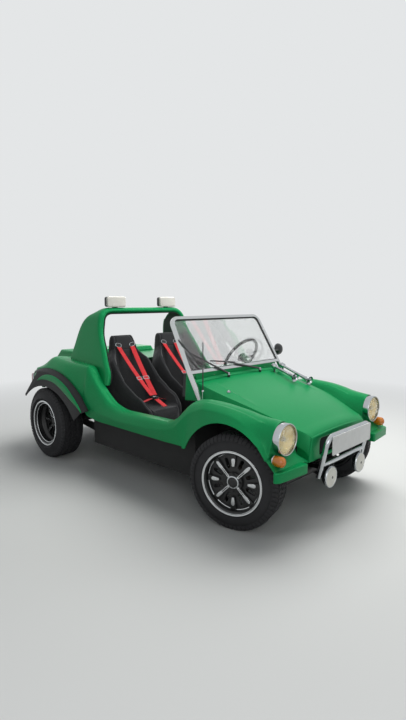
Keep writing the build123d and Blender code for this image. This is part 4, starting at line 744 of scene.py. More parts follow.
# Turn signals: domed amber lenses with moulded rings in chromed rims, below the headlamps.
signal_y, signal_z = 661, 518
signal_rims, signal_lenses = [], []
for side in (-1, 1):
    signal_place = facing(345, side * signal_y, signal_z)
    signal_rims.append(turned("rim", [(32, -16), (33, -14), (33, -9), (32, -7), (29, -6), (20, -8), (20, -16)],
                              signal_place, 48, 1.5))
    ribbed = [(31, -8), (32, 26), (30.6, 42)]
    for r in (27, 21, 15, 9, 4):
        dome = 61.5 - 15 * (r / 30) ** 2
        ribbed += [(r + 1.6, dome - 1.8), (r, dome), (r - 1.6, dome - 0.8)]
    signal_lenses.append(turned("lens", ribbed + [(0, 61), (0, -8)], signal_place, 48))
joined("signal_rims", signal_rims, chrome)
# Amber acrylic, clear enough to glow at its edges.
amber, tree, shader, place = start_material("amber_acrylic", "#E8820E", 0.16, Coat_Weight=0.5, Transmission_Weight=0.25)
depth = add_node(tree, "ShaderNodeTexNoise", {"Vector": place, "Scale": per_metre(24), "Detail": 2.0})
two_tones(tree, shader, "#DD7208", "#F39A22", depth.outputs["Fac"])
signals = joined("signal_lenses", signal_lenses, amber)
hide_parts("turn_signals")

# Nudge bar: one bent and chromed steel tube with a cross rail, bolted to the axle beam by two brackets.
softened("chrome_nudge_bar", "nudge_bar", chrome, 1.2, segments=2)

# Number plate: a pressed plate with a raised rim, left blank, on two screws through the bar's clips.
plate_place = facing(462 + 17 + 2, 0, 543)
plate_mesh = flat_plate("plate", [rounded_box(260, 60, 12)], 3.9, 1.2, plate_place)
rim_mesh = flat_plate("plate_rim", [rounded_box(259, 59, 12), rounded_box(253, 53, 8)], 1.6, 0.5,
                      facing(462 + 17 + 3.2, 0, 543))
# White enamel on pressed sheet, a little uneven.
enamel, tree, shader, place = start_material("white_plate_enamel", "#DCDDDB", 0.35)
mottle = add_node(tree, "ShaderNodeTexNoise", {"Vector": place, "Scale": per_metre(40), "Detail": 3.0})
two_tones(tree, shader, "#D3D4D2", "#E4E5E3", mottle.outputs["Fac"])
plate = joined("blank_plate", [plate_mesh, rim_mesh], enamel)
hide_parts("number_plate")
screws = [turned("screw", [(0, 0), (7, 0), (7, 0.8), (5, 2.2), (0, 2.6)], facing(462 + 17 + 1.2, side * 150, 540), 24)
          for side in (-1, 1)]
joined("plate_screws", screws, chrome)

# Driving lamps: two spun steel lamps that hang from the cross rail, chromed rims, and white
# snap-on covers with a black button in the middle.
drive_y, drive_z, drive_back = 198, 323, 396
shells, drive_rims, covers, buttons = [], [], [], []
for side in (-1, 1):
    drive_place = facing(drive_back, side * drive_y, drive_z)
    shells.append(turned("shell", [(0, 0), (26, 1), (48, 9), (62, 24), (66, 38), (66, 44), (0, 44)], drive_place, 56, 2))
    shells.append(turned("stem", [(0, 62), (9, 62), (9, 76), (0, 76)], Matrix.Translation(at(420, side * drive_y, drive_z)), 24))
    shells.append(turned("nut", [(0, 64), (16, 64), (16, 69), (0, 69)], Matrix.Translation(at(420, side * drive_y, drive_z)), 6, 0.8))
    drive_rims.append(turned("rim", [(64, 38), (69, 39), (70, 42), (70, 48), (68, 53), (65, 54), (63, 52)], drive_place, 64, 1.2))
    covers.append(turned("cover", [(0, 59), (9, 59), (40, 57.5), (58, 54.5), (64.5, 52), (65, 48), (0, 46)], drive_place, 64, 2))
    buttons.append(turned("button", [(0, 60), (7.5, 60), (8.5, 59), (8.5, 55), (0, 55)], drive_place, 32, 0.6))
joined("driving_lamp_shells", shells, black_steel)
joined("driving_lamp_rims", drive_rims, chrome)
joined("driving_lamp_buttons", buttons, black_steel)
# Cover plastic: off-white polythene with a fine mould grain.
white_plastic, tree, shader, place = start_material("off_white_plastic", "#E2E0D6", 0.42)
tone = add_node(tree, "ShaderNodeTexNoise", {"Vector": place, "Scale": per_metre(55), "Detail": 3.0})
pores = add_node(tree, "ShaderNodeTexNoise", {"Vector": place, "Scale": per_metre(1.6), "Detail": 1.0})
two_tones(tree, shader, "#DAD8CD", "#EAE8DF", tone.outputs["Fac"])
relief(tree, shader, pores.outputs["Fac"], 0.1, 0.4)
covers = joined("driving_lamp_covers", covers, white_plastic)
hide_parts("driving_lamps")

# Roof lamps: two oblong lamps in black shells on the hoop, faced with plain white snap-on covers.
lamp_shells, lamp_faces = [], []
for side in (-1, 1):
    roof_place = facing(462 - wheelbase, side * 305, 1430)
    lamp_shells.append(flat_plate("shell", [rounded_box(97, 45, 18)], 34, 8,
                                  roof_place @ Matrix.Translation((0, 0, -12.5 * mm))))
    lamp_shells.append(flat_plate("foot", [rounded_box(24, 17, 5)], 26, 3, roof_place @ Matrix.Translation((0, -34.9 * mm, -6 * mm))))
    lamp_faces.append(flat_plate("cover", [rounded_box(100, 48, 20)], 25, 9,
                                 roof_place @ Matrix.Translation((0, 0, 17.3 * mm))))
joined("roof_lamp_shells", lamp_shells, black_steel)
faces = joined("roof_lamp_covers", lamp_faces, white_plastic)
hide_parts("roof_lamps")

# Tail lamps: upright lamps on the end walls of the haunches, a red acrylic lens over a black base
# in a chromed rim.
tail_y, tail_z, tail_place_ahead = 622, 672, -2546
bases, tail_rims, lenses = [], [], []
for side in (-1, 1):
    tail_place = facing(tail_place_ahead, side * tail_y, tail_z) @ Matrix.Rotation(np.pi, 4, "Y")
    bases.append(flat_plate("base", [rounded_box(38, 52, 16)], 42, 3, tail_place @ Matrix.Translation((0, 0, 21 * mm))))
    tail_rims.append(flat_plate("rim", [rounded_box(42, 56, 20), rounded_box(35, 49, 14)], 16, 3,
                                tail_place @ Matrix.Translation((0, 0, 46 * mm))))
    lenses.append(flat_plate("lens", [rounded_box(36, 50, 15)], 42, 10, tail_place @ Matrix.Translation((0, 0, 68.5 * mm))))
joined("tail_lamp_bases", bases, black_steel)
joined("tail_lamp_rims", tail_rims, chrome)
# Red acrylic with small moulded prisms.
red_acrylic, tree, shader, place = start_material("red_acrylic", "#A30F14", 0.16, Coat_Weight=0.4)
prisms = add_node(tree, "ShaderNodeTexVoronoi", {"Vector": place, "Scale": per_metre(5)}, distance="CHEBYCHEV")
two_tones(tree, shader, "#8E0B10", "#BC151B", prisms.outputs["Distance"])
relief(tree, shader, prisms.outputs["Distance"], 0.6, 0.6)
lenses = joined("tail_lamp_lenses", lenses, red_acrylic)
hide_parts("tail_lamps")

# Arch guards: black rubber skirts that run from the arch's edge out over the rear tyres.
guard_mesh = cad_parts["arch_guards"].data.copy()
shape = bmesh.new()
shape.from_mesh(guard_mesh)
bmesh.ops.remove_doubles(shape, verts=shape.verts, dist=0.00002)
bmesh.ops.dissolve_limit(shape, angle_limit=radians(1), verts=shape.verts, edges=shape.edges)
# The rear end of each guard is cut back to a straight slope that drops to its low corner.
for side in (-1, 1):
    half_guard = [v for v in shape.verts if v.co.y * side > 0]
    parts = half_guard + list({e for v in half_guard for e in v.link_edges}) + list({f for v in half_guard for f in v.link_faces})
    made = bmesh.ops.bisect_plane(shape, geom=parts, plane_co=at(-336 - wheelbase, side * 806, 543),
                                  plane_no=(-214, side * 501, 227), clear_outer=True, dist=0.00001)
    bmesh.ops.edgenet_fill(shape, edges=[e for e in made["geom_cut"] if isinstance(e, bmesh.types.BMEdge)])
bmesh.ops.recalc_face_normals(shape, faces=shape.faces)
shape.to_mesh(guard_mesh)
shape.free()
guards = finish_shape(put("rubber_arch_guards", guard_mesh, rubber), bevel=1.5, segments=2, angle=30)
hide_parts("arch_guards")

# Wheels: cast alloy discs in deep barrels, painted black, with the faces of four long spokes and four
# short wedges between them and the double outer lip turned bright. Iron brake drums sit behind them.
lip_r, seat_r, well_r, hub_r, spoke_rise, disc_thick, drum_r = 208, 192.5, 168, 62, 14, 14, 96
parked_turn = radians(14.5)


def wheel_place(x_ahead, y, z, side, turn=0):
    """A matrix on a wheel's centre: its Z outboard, its X up."""
    out, up = Vector((-side * sin(turn), side * cos(turn), 0)), Vector((0, 0, 1))
    axes = Matrix((up, out.cross(up), out)).transposed().to_4x4()
    return Matrix.Translation(at(x_ahead, y, z)) @ axes


# Satin black wheel enamel with road dust in it.
wheel_black, tree, shader, place = start_material("black_wheel_enamel", "#121314", 0.42)
grime = add_node(tree, "ShaderNodeTexNoise", {"Vector": place, "Scale": per_metre(30), "Detail": 5.0})
two_tones(tree, shader, "#0E0F10", "#1C1D1D", grime.outputs["Fac"])
relief(tree, shader, grime.outputs["Fac"], 0.2, 0.3)
# Alloy turned bright on a lathe, lightly lacquered.
bright_alloy, tree, shader, place = start_material("turned_bright_alloy", "#CDCFD0", 0.2, Metallic=1.0, Coat_Weight=0.2)
cut = add_node(tree, "ShaderNodeTexNoise", {"Vector": place, "Scale": per_metre(9), "Detail": 3.0})
two_tones(tree, shader, "#BABDBF", "#DDDFE0", cut.outputs["Fac"])
relief(tree, shader, cut.outputs["Fac"], 0.02, 0.4)
# Bare cast iron, rust-brown in its pores.
iron, tree, shader, place = start_material("cast_iron", "#242220", 0.75, Metallic=0.4)
rust = add_node(tree, "ShaderNodeTexNoise", {"Vector": place, "Scale": per_metre(14), "Detail": 6.0})
two_tones(tree, shader, "#1D1C1B", "#352D27", rust.outputs["Fac"])
relief(tree, shader, rust.outputs["Fac"], 0.5, 0.5)
# Tyre rubber, grey with wear in random patches.
tyre_rubber, tree, shader, place = start_material("tyre_rubber", "#1C1C1D", 0.78)
wear = add_node(tree, "ShaderNodeTexNoise", {"Vector": place, "Scale": per_metre(45), "Detail": 5.0})
fine = add_node(tree, "ShaderNodeTexNoise", {"Vector": place, "Scale": per_metre(1.5), "Detail": 1.0})
two_tones(tree, shader, "#161617", "#27272A", wear.outputs["Fac"])
relief(tree, shader, fine.outputs["Fac"], 0.1, 0.5)


def arc_points(p, q, r, count):
    """Points on the circle through three (radius, height) points, from the first to the last."""
    a, b, c = (complex(*v) for v in (p, q, r))
    w = (c - a) / (b - a)
    centre = (a - b) * (w - abs(w) ** 2) / (2j * w.imag) + a
    start, end = a - centre, c - centre
    swing = np.angle(end / start)
    if np.sign(np.angle((b - centre) / start)) != np.sign(swing):
        swing -= np.sign(swing) * 2 * np.pi
    return [((centre + start * np.exp(1j * swing * k / count)).real,
             (centre + start * np.exp(1j * swing * k / count)).imag) for k in range(count + 1)]


def make_wheel(half, dish):
    """Meshes of one wheel: black, bright, chrome and iron parts, by material."""
    face = half - dish
    here = Matrix.Identity(4)
    # The bright step lies where the front disc meets its barrel, and near the lip of the deeper rear one.
    step_z = face + 2 if dish < 60 else half - 20
    barrel = [(lip_r - 0.6, half - 0.6), (lip_r - 0.6, half - 6), (seat_r, half - 10), (seat_r, half - 34), (190.5, 40),
              (well_r, 22), (well_r, -22), (190.5, -44), (seat_r, 34 - half), (seat_r, 10 - half), (lip_r, 6 - half),
              (lip_r, -half), (194.5, -half), (182.5, 14 - half), (182.5, -44), (160, -24), (160, 24), (182.5, 44),
              (182.5, half - 14), (194.5, half - 0.6)]
    disc_edge = 184 if abs(face - 7) > 30 else 164
    circle = [(disc_edge * cos(t), disc_edge * sin(t)) for t in np.linspace(0, 2 * np.pi, 97)[:-1]]
    windows = []
    for k in range(8):
        turn = radians(22.5 + 45 * k)
        window = rounded_box(34, 11.9, 11.8, (122, 0))
        windows.append([(u * cos(turn) - v * sin(turn), u * sin(turn) + v * cos(turn)) for u, v in window])
    black = [turned("barrel", barrel, here, 96, [1, 2, 3, 4, 8, 6, 6, 8, 4, 3, 2, 2, 2, 6, 10, 8, 8, 10, 6, 2]),
             flat_plate("disc", [circle] + windows, disc_thick, 2.5, Matrix.Translation((0, 0, (face - 7) * mm))),
             turned("boss", [(0, face - 2), (hub_r + 1, face - 2), (hub_r, face + 14), (0, face + 14)], here, 72, 3)]
    bright = [turned("lip", [(207.9, half - 6), (208.7, half - 5), (208.7, half + 0.6), (207, half + 1.4),
                             (203, half - 0.4), (199, half - 0.4), (195.6, half + 1), (194, half + 0.4),
                             (193.6, half - 1.5), (200, half - 3)], here, 96, 0.8),
              turned("step", [(184, step_z), (183, step_z + 3), (179.5, step_z + 4), (176.5, step_z + 2.5),
                              (175.5, step_z - 2), (184, step_z - 3)], here, 96, 1)]
    reach = disc_edge - 3
    for k in range(8):
        long_one, turn = k % 2 == 1, radians(45 * k)
        inner = hub_r - 8 if long_one else 98
        body = [(inner, -11), (reach, -20), (reach, 20), (inner, 11)]
        if long_one:
            bright_outline = [(38, -8), (96, -7.5), (132, -11), (158, -9), (166, 0), (158, 9), (132, 11), (96, 7.5), (38, 8)]
            groove = [(52, -2.6), (104, -2.6), (112, 0), (104, 2.6), (52, 2.6)]
        else:
            bright_outline = [(100, -5), (104, -8), (140, -13.5), (151, -10), (154, 0), (151, 10), (140, 13.5), (104, 8),
                              (100, 5)]
            groove = None
        for outline, hole, low, high, meshes, edge in (
            (body, None, face - 3, face + spoke_rise, black, 3),
            (bright_outline, groove, face + spoke_rise - 1.2, face + spoke_rise + 1.6, bright, 0.9),
        ):
            rings = []
            for ring in (outline, hole) if hole else (outline,):
                ring = eased([(u * mm, v * mm, 0) for u, v in ring], [4] * len(ring), steps=3, closed=True)
                rings.append([((p.x * cos(turn) - p.y * sin(turn)) / mm, (p.x * sin(turn) + p.y * cos(turn)) / mm)
                              for p in ring])
            meshes.append(flat_plate("spoke", rings, high - low, edge,
                                     Matrix.Translation((0, 0, (low + high) / 2 * mm))))
    top = face + spoke_rise
    black.append(turned("cap", [(0, top - 2), (33, top - 2), (33, top + 7), (29, top + 12), (18, top + 14.5), (0, top + 15)],
                        here, 56, 2))
    rings = [turned("cap_ring", [(33, top - 1), (42.5, top - 1), (43, top + 2), (40.5, top + 6.5), (33, top + 8)], here, 56, 1)]
    drum_top = face - disc_thick
    drum = [turned("drum", [(20, drum_top), (drum_r, drum_top), (drum_r, drum_top - 22), (drum_r + 3, drum_top - 23),
                            (drum_r + 3, drum_top - 30), (88, drum_top - 30), (86, drum_top - 9), (20, drum_top - 9)],
                   here, 72, 1.5)]
    return {"black": black, "bright": bright, "chrome": rings, "iron": drum}, top


def scatter(name, mesh, inputs, build, material):
    """The mesh that a Geometry Nodes tree makes from an input mesh, at once applied."""
    tree = bpy.data.node_groups.new(name, "GeometryNodeTree")
    tree.interface.new_socket("Geometry", in_out="INPUT", socket_type="NodeSocketGeometry")
    sockets = {}
    for label, value in inputs.items():
        kind = "NodeSocketInt" if isinstance(value, int) else "NodeSocketFloat"
        sockets[label] = tree.interface.new_socket(label, in_out="INPUT", socket_type=kind).identifier
    tree.interface.new_socket("Geometry", in_out="OUTPUT", socket_type="NodeSocketGeometry")
    source = tree.nodes.new("NodeGroupInput")
    result = build(tree, source)
    real = add_node(tree, "GeometryNodeRealizeInstances", {"Geometry": result})
    painted = add_node(tree, "GeometryNodeSetMaterial", {"Geometry": real.outputs[0], "Material": material})
    add_node(tree, "NodeGroupOutput", {"Geometry": painted.outputs[0]})
    holder = bpy.data.objects.new(name, mesh)
    bpy.context.scene.collection.objects.link(holder)
    modifier = holder.modifiers.new(name, "NODES")
    modifier.node_group = tree
    for label, value in inputs.items():
        modifier[sockets[label]] = value
    made = bpy.data.meshes.new_from_object(holder.evaluated_get(bpy.context.evaluated_depsgraph_get()))
    bpy.data.objects.remove(holder)
    return made


def around_axle(tree, source):
    """Instances of the input spaced evenly round Z: Count of them on a circle of a Radius."""
    points = add_node(tree, "GeometryNodePoints", {"Count": source.outputs["Count"]})
    index = add_node(tree, "GeometryNodeInputIndex")
    share = add_node(tree, "ShaderNodeMath", {0: index.outputs[0], 1: source.outputs["Count"]}, operation="DIVIDE")
    full = add_node(tree, "ShaderNodeMath", {0: share.outputs[0], 1: 2 * np.pi}, operation="MULTIPLY")
    angle = add_node(tree, "ShaderNodeMath", {0: full.outputs[0], 1: source.outputs["Start"]}, operation="ADD")
    turn = add_node(tree, "ShaderNodeCombineXYZ", {"Z": angle.outputs[0]})
    across = add_node(tree, "ShaderNodeMath", {0: angle.outputs[0]}, operation="COSINE")
    up = add_node(tree, "ShaderNodeMath", {0: angle.outputs[0]}, operation="SINE")
    circle = add_node(tree, "ShaderNodeCombineXYZ", {"X": across.outputs[0], "Y": up.outputs[0]})
    spot = add_node(tree, "ShaderNodeVectorMath", {0: circle.outputs[0], "Scale": source.outputs["Radius"]},
                    operation="SCALE")
    placed = add_node(tree, "GeometryNodeSetPosition", {"Geometry": points.outputs[0], "Position": spot.outputs[0]})
    copies = add_node(tree, "GeometryNodeInstanceOnPoints", {"Points": placed.outputs[0],
                      "Instance": source.outputs["Geometry"], "Rotation": turn.outputs[0]})
    return copies.outputs[0]


def tread_slice(outer_r, half):
    """One pitch of the tread: three centre blocks and two shoulder blocks on the carcass."""
    shape = bmesh.new()
    pitch = 2 * np.pi / tread_count

    def block(stations, start, long, skew):
        """A block through (height, top radius) stations, its ends skewed across the tread."""
        loops = []
        for n, (z, top) in enumerate(stations):
            lean = skew * (z - stations[0][0])
            for t, r in ((start, top - 9), (start, top - 1.5), (start + 0.04 * pitch, top), (start + long - 0.04 * pitch, top),
                         (start + long, top - 1.5), (start + long, top - 9)):
                loops.append(shape.verts.new(Vector((r * cos(t + lean), r * sin(t + lean), z)) * mm))
        for n in range(len(stations) - 1):
            for k in range(5):
                shape.faces.new([loops[n * 6 + k], loops[n * 6 + k + 1], loops[n * 6 + k + 7], loops[n * 6 + k + 6]])
        shape.faces.new(loops[:6])
        shape.faces.new(loops[-6:])

    wide = half - 38
    lane = (2 * wide - 3 * 7) / 3
    for n, (shift, skew) in enumerate(((0.1, 0.0016), (0.55, 0), (0.1, -0.0016))):
        low = -wide + 4 + n * (lane + 6.5)
        block([(low, outer_r - 1.2), (low + 2, outer_r), (low + lane - 2, outer_r), (low + lane, outer_r - 1.2)],
              shift * pitch, 0.8 * pitch, skew)
    for side in (-1, 1):
        stations = [(side * (wide + 7), outer_r - 1.2), (side * (wide + 10), outer_r - 0.6), (side * (half - 21), outer_r - 7),
                    (side * (half - 14), outer_r - 17), (side * (half - 10.5), outer_r - 30)]
        block(stations, 0.4 * pitch, 0.86 * pitch, 0.0008 * side)
    bmesh.ops.recalc_face_normals(shape, faces=shape.faces)
    mesh = bpy.data.meshes.new("tread")
    shape.to_mesh(mesh)
    shape.free()
    return mesh


def make_tyre(outer_r, half, rim_half):
    """The carcass with its sidewall rings, and its tread."""
    bead, floor_r = rim_half - 14, outer_r - 5
    side = arc_points((210.5, bead + 1), ((190.5 + outer_r) / 2 - 6, half - 0.8), (outer_r - 34, half - 11.5), 40)
    ringed = []
    for r, z in side:
        rib = 0.8 if 221 < r < 226 or outer_r - 54 < r < outer_r - 50 or outer_r - 46 < r < outer_r - 43 else 0
        ringed.append((r, z + rib))
    outboard = [(seat_r + 0.3, bead - 16), (seat_r + 0.3, bead - 2), (196, bead), (203, bead + 3)] + ringed
    outboard += [(outer_r - 20, half - 19), (floor_r - 1, half - 33), (floor_r, half - 40)]
    inner = [(outer_r - 20, half - 44), (230, half - 22)]
    profile = outboard + [(r, -z) for r, z in reversed(outboard)] + [(r, -z) for r, z in reversed(inner)] + inner
    carcass = turned("carcass", profile, Matrix.Identity(4), 128)
    blocks = scatter("tread", tread_slice(outer_r, half), {"Count": tread_count, "Radius": 0.0, "Start": 0.0},
                     around_axle, tyre_rubber)
    return [carcass, blocks]


tread_count, nut_count = 62, 4
nut_mesh = turned("nut", [(0, -2), (9.5, -2), (9.5, 9), (7, 12), (0, 12.5)], Matrix.Identity(4), 6, 0.8)
for end, half, dish, outer_r, tyre_half in (("front", 87, 44, 307, 97.5), ("rear", 113, 112, 322, 116)):
    parts, top = make_wheel(half, dish)
    nuts = scatter("nuts", nut_mesh, {"Count": nut_count, "Radius": 0.050, "Start": 0.0}, around_axle, wheel_black)
    nuts.transform(Matrix.Translation((0, 0, top * mm)))
    parts["black"].append(nuts)
    tyre_meshes = make_tyre(outer_r, tyre_half, half)
    for side_name, side in (("left", 1), ("right", -1)):
        body = f"wheel_{end}_{side_name}"
        if end == "front":
            x_ahead, y = -50 * side * sin(parked_turn), side * (564 + 50 * cos(parked_turn))
            spot = wheel_place(x_ahead, y, outer_r, side, parked_turn)
        else:
            spot = wheel_place(-wheelbase, side * 676, outer_r, side)
        for kind, material in (("black", wheel_black), ("bright", bright_alloy), ("chrome", chrome), ("iron", iron)):
            piece = joined(f"{end}_wheel_{kind}_{side_name}", parts[kind], material, body)
            piece.data.transform(spot)
            if kind == "black":
                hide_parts(f"{end}_rim_{side_name}")
        tyre = joined(f"{end}_tyre_cover_{side_name}", tyre_meshes, tyre_rubber, body)
        tyre.data.transform(spot)
        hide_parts(f"{end}_tyre_{side_name}")

# Seats: two one-piece buckets of foam on a moulded pan, covered in black cloth with sewn side panels.
# The foam is swelled against its cover by a short cloth simulation.
seat_y = 268
# Columns: b and Z of the middle, of the bolster's ridge and of the back, half width and half panel.
# b is mm ahead of the rear axle.
seat_rows = [
    (1122, 440, 1120, 446, 1106, 342, 178, 112), (1125, 480, 1118, 492, 1060, 338, 188, 122),
    (1112, 520, 1104, 548, 1020, 338, 200, 134), (1076, 537, 1068, 592, 960, 338, 212, 146),
    (1000, 529, 1003, 648, 900, 338, 222, 150), (900, 516, 930, 681, 830, 338, 228, 152),
    (802, 504, 856, 729, 742, 338, 231, 152), (738, 512, 800, 762, 652, 342, 231, 152),
    (694, 552, 752, 808, 600, 404, 231, 150), (660, 640, 706, 856, 565, 520, 231, 148),
    (632, 740, 666, 899, 538, 650, 231, 146), (601, 850, 629, 937, 511, 760, 226, 138),
    (576, 940, 593, 966, 484, 870, 200, 126), (560, 1000, 562, 1002, 464, 965, 158, 112),
    (546, 1050, 546, 1051, 450, 1035, 138, 98), (532, 1092, 532, 1093, 448, 1088, 128, 92),
    (516, 1126, 516, 1126, 452, 1122, 117, 84), (496, 1142, 496, 1142, 462, 1140, 104, 76),
]


def seat_half(z):
    """Half the width that the bucket's front outline leaves at a height."""
    return float(np.interp(z, [320, 400, 600, 700, 900, 1010, 1152], [156, 164, 217, 231, 231, 146, 108]))


seat_rings = []
for row in flow(range(len(seat_rows)), seat_rows, np.linspace(0, len(seat_rows) - 1, 70)):
    middle, ridge, back = (Vector((row[k], 0, row[k + 1])) for k in (0, 2, 4))
    half, panel = row[6], row[7]
    ridge_y = (half + panel) / 2 + 4
    side_points = [(panel - 18, middle), (panel + 4, middle.lerp(ridge, 0.35)), (ridge_y - 14, ridge), (ridge_y + 16, ridge),
                   (half, ridge.lerp(back, 0.3)), (half - 2, ridge.lerp(back, 0.72)), (half - 14, back)]
    side_points = [(min(y, seat_half(p.z)), p) for y, p in side_points]
    ring = [(0, middle)] + side_points + [(0, back)] + [(-y, p) for y, p in reversed(side_points)]
    ring = [at(p.x - wheelbase, seat_y + y, p.z) for y, p in ring]
    cuts = [30, 26, 22, 14, 14, 30, 30, 14, 30, 14, 30, 30, 14, 14, 22, 26]
    seat_rings.append(eased(ring, cuts, steps=4, closed=True))
seat_mesh = sheet_mesh("seat_foam", seat_rings, inside=at(750 - wheelbase, seat_y, 500), closed=True)
shape = bmesh.new()
shape.from_mesh(seat_mesh)
bmesh.ops.holes_fill(shape, edges=shape.edges)
bmesh.ops.recalc_face_normals(shape, faces=shape.faces)
shape.to_mesh(seat_mesh)
shape.free()

# Black woven seat cloth: threads 1.6 mm apart, a soft sheen and faint fading.
seat_cloth, tree, shader, place = start_material("black_seat_cloth", "#131416", 0.85, Sheen_Weight=0.25)
warp = add_node(tree, "ShaderNodeTexWave", {"Vector": place, "Scale": per_metre(1.6) / 3.18}, bands_direction="Y")
weft = add_node(tree, "ShaderNodeTexWave", {"Vector": place, "Scale": per_metre(1.6) / 3.18}, bands_direction="Z")
weave = add_node(tree, "ShaderNodeMath", {0: warp.outputs["Fac"], 1: weft.outputs["Fac"]}, operation="MULTIPLY")
fading = add_node(tree, "ShaderNodeTexNoise", {"Vector": place, "Scale": per_metre(120), "Detail": 3.0})
two_tones(tree, shader, "#0F1011", "#1B1C1F", fading.outputs["Fac"])
relief(tree, shader, weave.outputs[0], 0.35, 0.5)
seat = put("seat_bucket_left", seat_mesh, seat_cloth)


def swelled(piece, voxel, cap, start_in):
    """Remeshes a closed foam shape, swells it under its cover by simulation and caps how far it moves."""
    remesh = piece.modifiers.new("remesh", "REMESH")
    remesh.mode, remesh.voxel_size = "VOXEL", voxel * mm
    piece.data = bpy.data.meshes.new_from_object(piece.evaluated_get(bpy.context.evaluated_depsgraph_get()))
    piece.modifiers.clear()
    count = len(piece.data.vertices)
    normals, rest = np.empty(count * 3, np.float32), np.empty(count * 3, np.float32)
    piece.data.vertices.foreach_get("normal", normals)
    piece.data.vertices.foreach_get("co", rest)
    rest = rest - normals * start_in * mm
    piece.data.vertices.foreach_set("co", rest)
    moved = rest.copy()
    cloth = piece.modifiers.new("cover", "CLOTH")
    cloth.settings.use_pressure, cloth.settings.uniform_pressure_force = True, 4
    cloth.settings.effector_weights.gravity = 0
    scene = bpy.context.scene
    for step in range(1, 21):
        scene.frame_set(step)
    swollen = piece.evaluated_get(bpy.context.evaluated_depsgraph_get()).data
    swollen.vertices.foreach_get("co", moved)
    piece.modifiers.clear()
    scene.frame_set(1)
    step = (moved - rest).reshape(-1, 3)
    far = np.linalg.norm(step, axis=1, keepdims=True)
    step = step * np.minimum(1, cap * mm / np.maximum(far, 1e-9))
    piece.data.vertices.foreach_set("co", (rest.reshape(-1, 3) + step).ravel())
    piece.data.update()
    return piece


swelled(seat, 6, 8, 5)
finish_shape(seat, levels=1)
# Sewn seams: a groove between the middle panel and each bolster, and one under the headrest.
count = len(seat.data.vertices)
points, normals = np.empty(count * 3, np.float32), np.empty(count * 3, np.float32)
seat.data.vertices.foreach_get("co", points)
seat.data.vertices.foreach_get("normal", normals)
points, normals = points.reshape(-1, 3), normals.reshape(-1, 3)
off_y = np.abs(points[:, 1] / mm - seat_y)
high = points[:, 2] / mm
panel_edge = np.interp(high, [500, 850, 1000, 1140], [146, 138, 112, 80])
front = np.clip(normals[:, 0] * 0.9 + normals[:, 2] * 0.6, 0, 1)
groove = np.exp(-((off_y - panel_edge) / 6) ** 2) + np.exp(-((high - 1008 - off_y * 0.05) / 6) ** 2) * (off_y < 150)
points -= normals * (groove * front * 4.5 * mm)[:, None]
seat.data.vertices.foreach_set("co", points.ravel())
seat.data.update()
seat_twin = other_side(seat, "seat_bucket_right")
for piece, node in ((seat, "seat_left"), (seat_twin, "seat_right")):
    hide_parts(node)

# Harnesses: red woven webbing from chromed slots in each headrest, over the shoulders and from the
# hips and the crotch to a black rotary buckle, with chromed adjusters on the shoulder straps.


def strap(name, points, width, thick, sag=0):
    """A flat strap through points in mm ahead of the rear axle, its width level, hanging by a sag in mm."""
    line = eased([at(b - wheelbase, y, z) for b, y, z in points], [18] * len(points), steps=5)
    total = sum((line[i + 1] - line[i]).length for i in range(len(line) - 1))
    rows, gone = [], 0
    for i, p in enumerate(line):
        gone += (p - line[i - 1]).length if i else 0
        run = (line[min(i + 1, len(line) - 1)] - line[max(i - 1, 0)]).normalized()
        wide = run.cross(Vector((0, 0, 1)))
        wide = wide.normalized() if wide.length > 0.05 else Vector((0, 1, 0))
        lift = wide.cross(run)
        p = p - lift * sag * mm * 4 * (gone / total) * (1 - gone / total)
        rows.append([p + wide * u * mm + lift * v * mm for u, v in (
            (-width / 2, -thick / 2), (-width / 2, thick / 2), (-width / 4, thick * 0.75), (width / 4, thick * 0.75),
            (width / 2, thick / 2), (width / 2, -thick / 2))])
    mesh = sheet_mesh(name, rows, inside=None, closed=True)
    shape = bmesh.new()
    shape.from_mesh(mesh)
    bmesh.ops.holes_fill(shape, edges=shape.edges)
    bmesh.ops.recalc_face_normals(shape, faces=shape.faces)
    shape.to_mesh(mesh)
    shape.free()
    return mesh


buckle_b, buckle_z = 945, 616
belt_meshes, steel_meshes, plastic_meshes = [], [], []
lean = Matrix(((0, -0.29, 0.957, 0), (1, 0, 0, 0), (0, 0.957, 0.29, 0), (0, 0, 0, 1)))
for side in (-1, 1):
    top_y = seat_y + side * 76
    middle = [(546 + (buckle_b - 546) * t, top_y + (seat_y + side * 14 - top_y) * t, 1042 + (buckle_z + 8 - 1042) * t)
              for t in (0.08, 0.2, 0.35, 0.5, 0.65, 0.8, 0.92, 0.97)]
    belt_meshes.append(strap("shoulder", [(540, top_y, 1050)] + middle, 46, 2.4, 10))
    belt_meshes.append(strap("lap", [(902, seat_y + side * 150, 574), (915, seat_y + side * 110, 588),
                                     (930, seat_y + side * 70, 602), (942, seat_y + side * 26, buckle_z)], 46, 2.4, 2))
    for t in (0.62,):
        spot = [546 + (buckle_b - 546) * t, top_y + (seat_y + side * 14 - top_y) * t, 1042 + (buckle_z - 1042) * t]
        tilt = along(at(spot[0] - wheelbase, spot[1], spot[2] - 8),
                     at(spot[0] - wheelbase + 60, spot[1] - side * 9, spot[2] - 72))
        frame_plate = flat_plate("adjuster", [rounded_box(30, 17, 4), rounded_box(24, 11, 2)], 6, 1.5,
                                 tilt @ Matrix.Rotation(radians(90), 4, "X") @ Matrix.Rotation(radians(0), 4, "Z"))
        steel_meshes.append(frame_plate)
    ring_place = Matrix.Translation(at(550 - wheelbase, top_y, 1046)) @ lean @ Matrix.Rotation(radians(side * 12), 4, "Z")
    steel_meshes.append(flat_plate("slot_ring", [rounded_box(33, 19, 18.9), rounded_box(27, 13, 12.9)], 9, 2.6, ring_place))
    plastic_meshes.append(flat_plate("slot_well", [rounded_box(29, 15, 14.9)], 5, 1, ring_place))
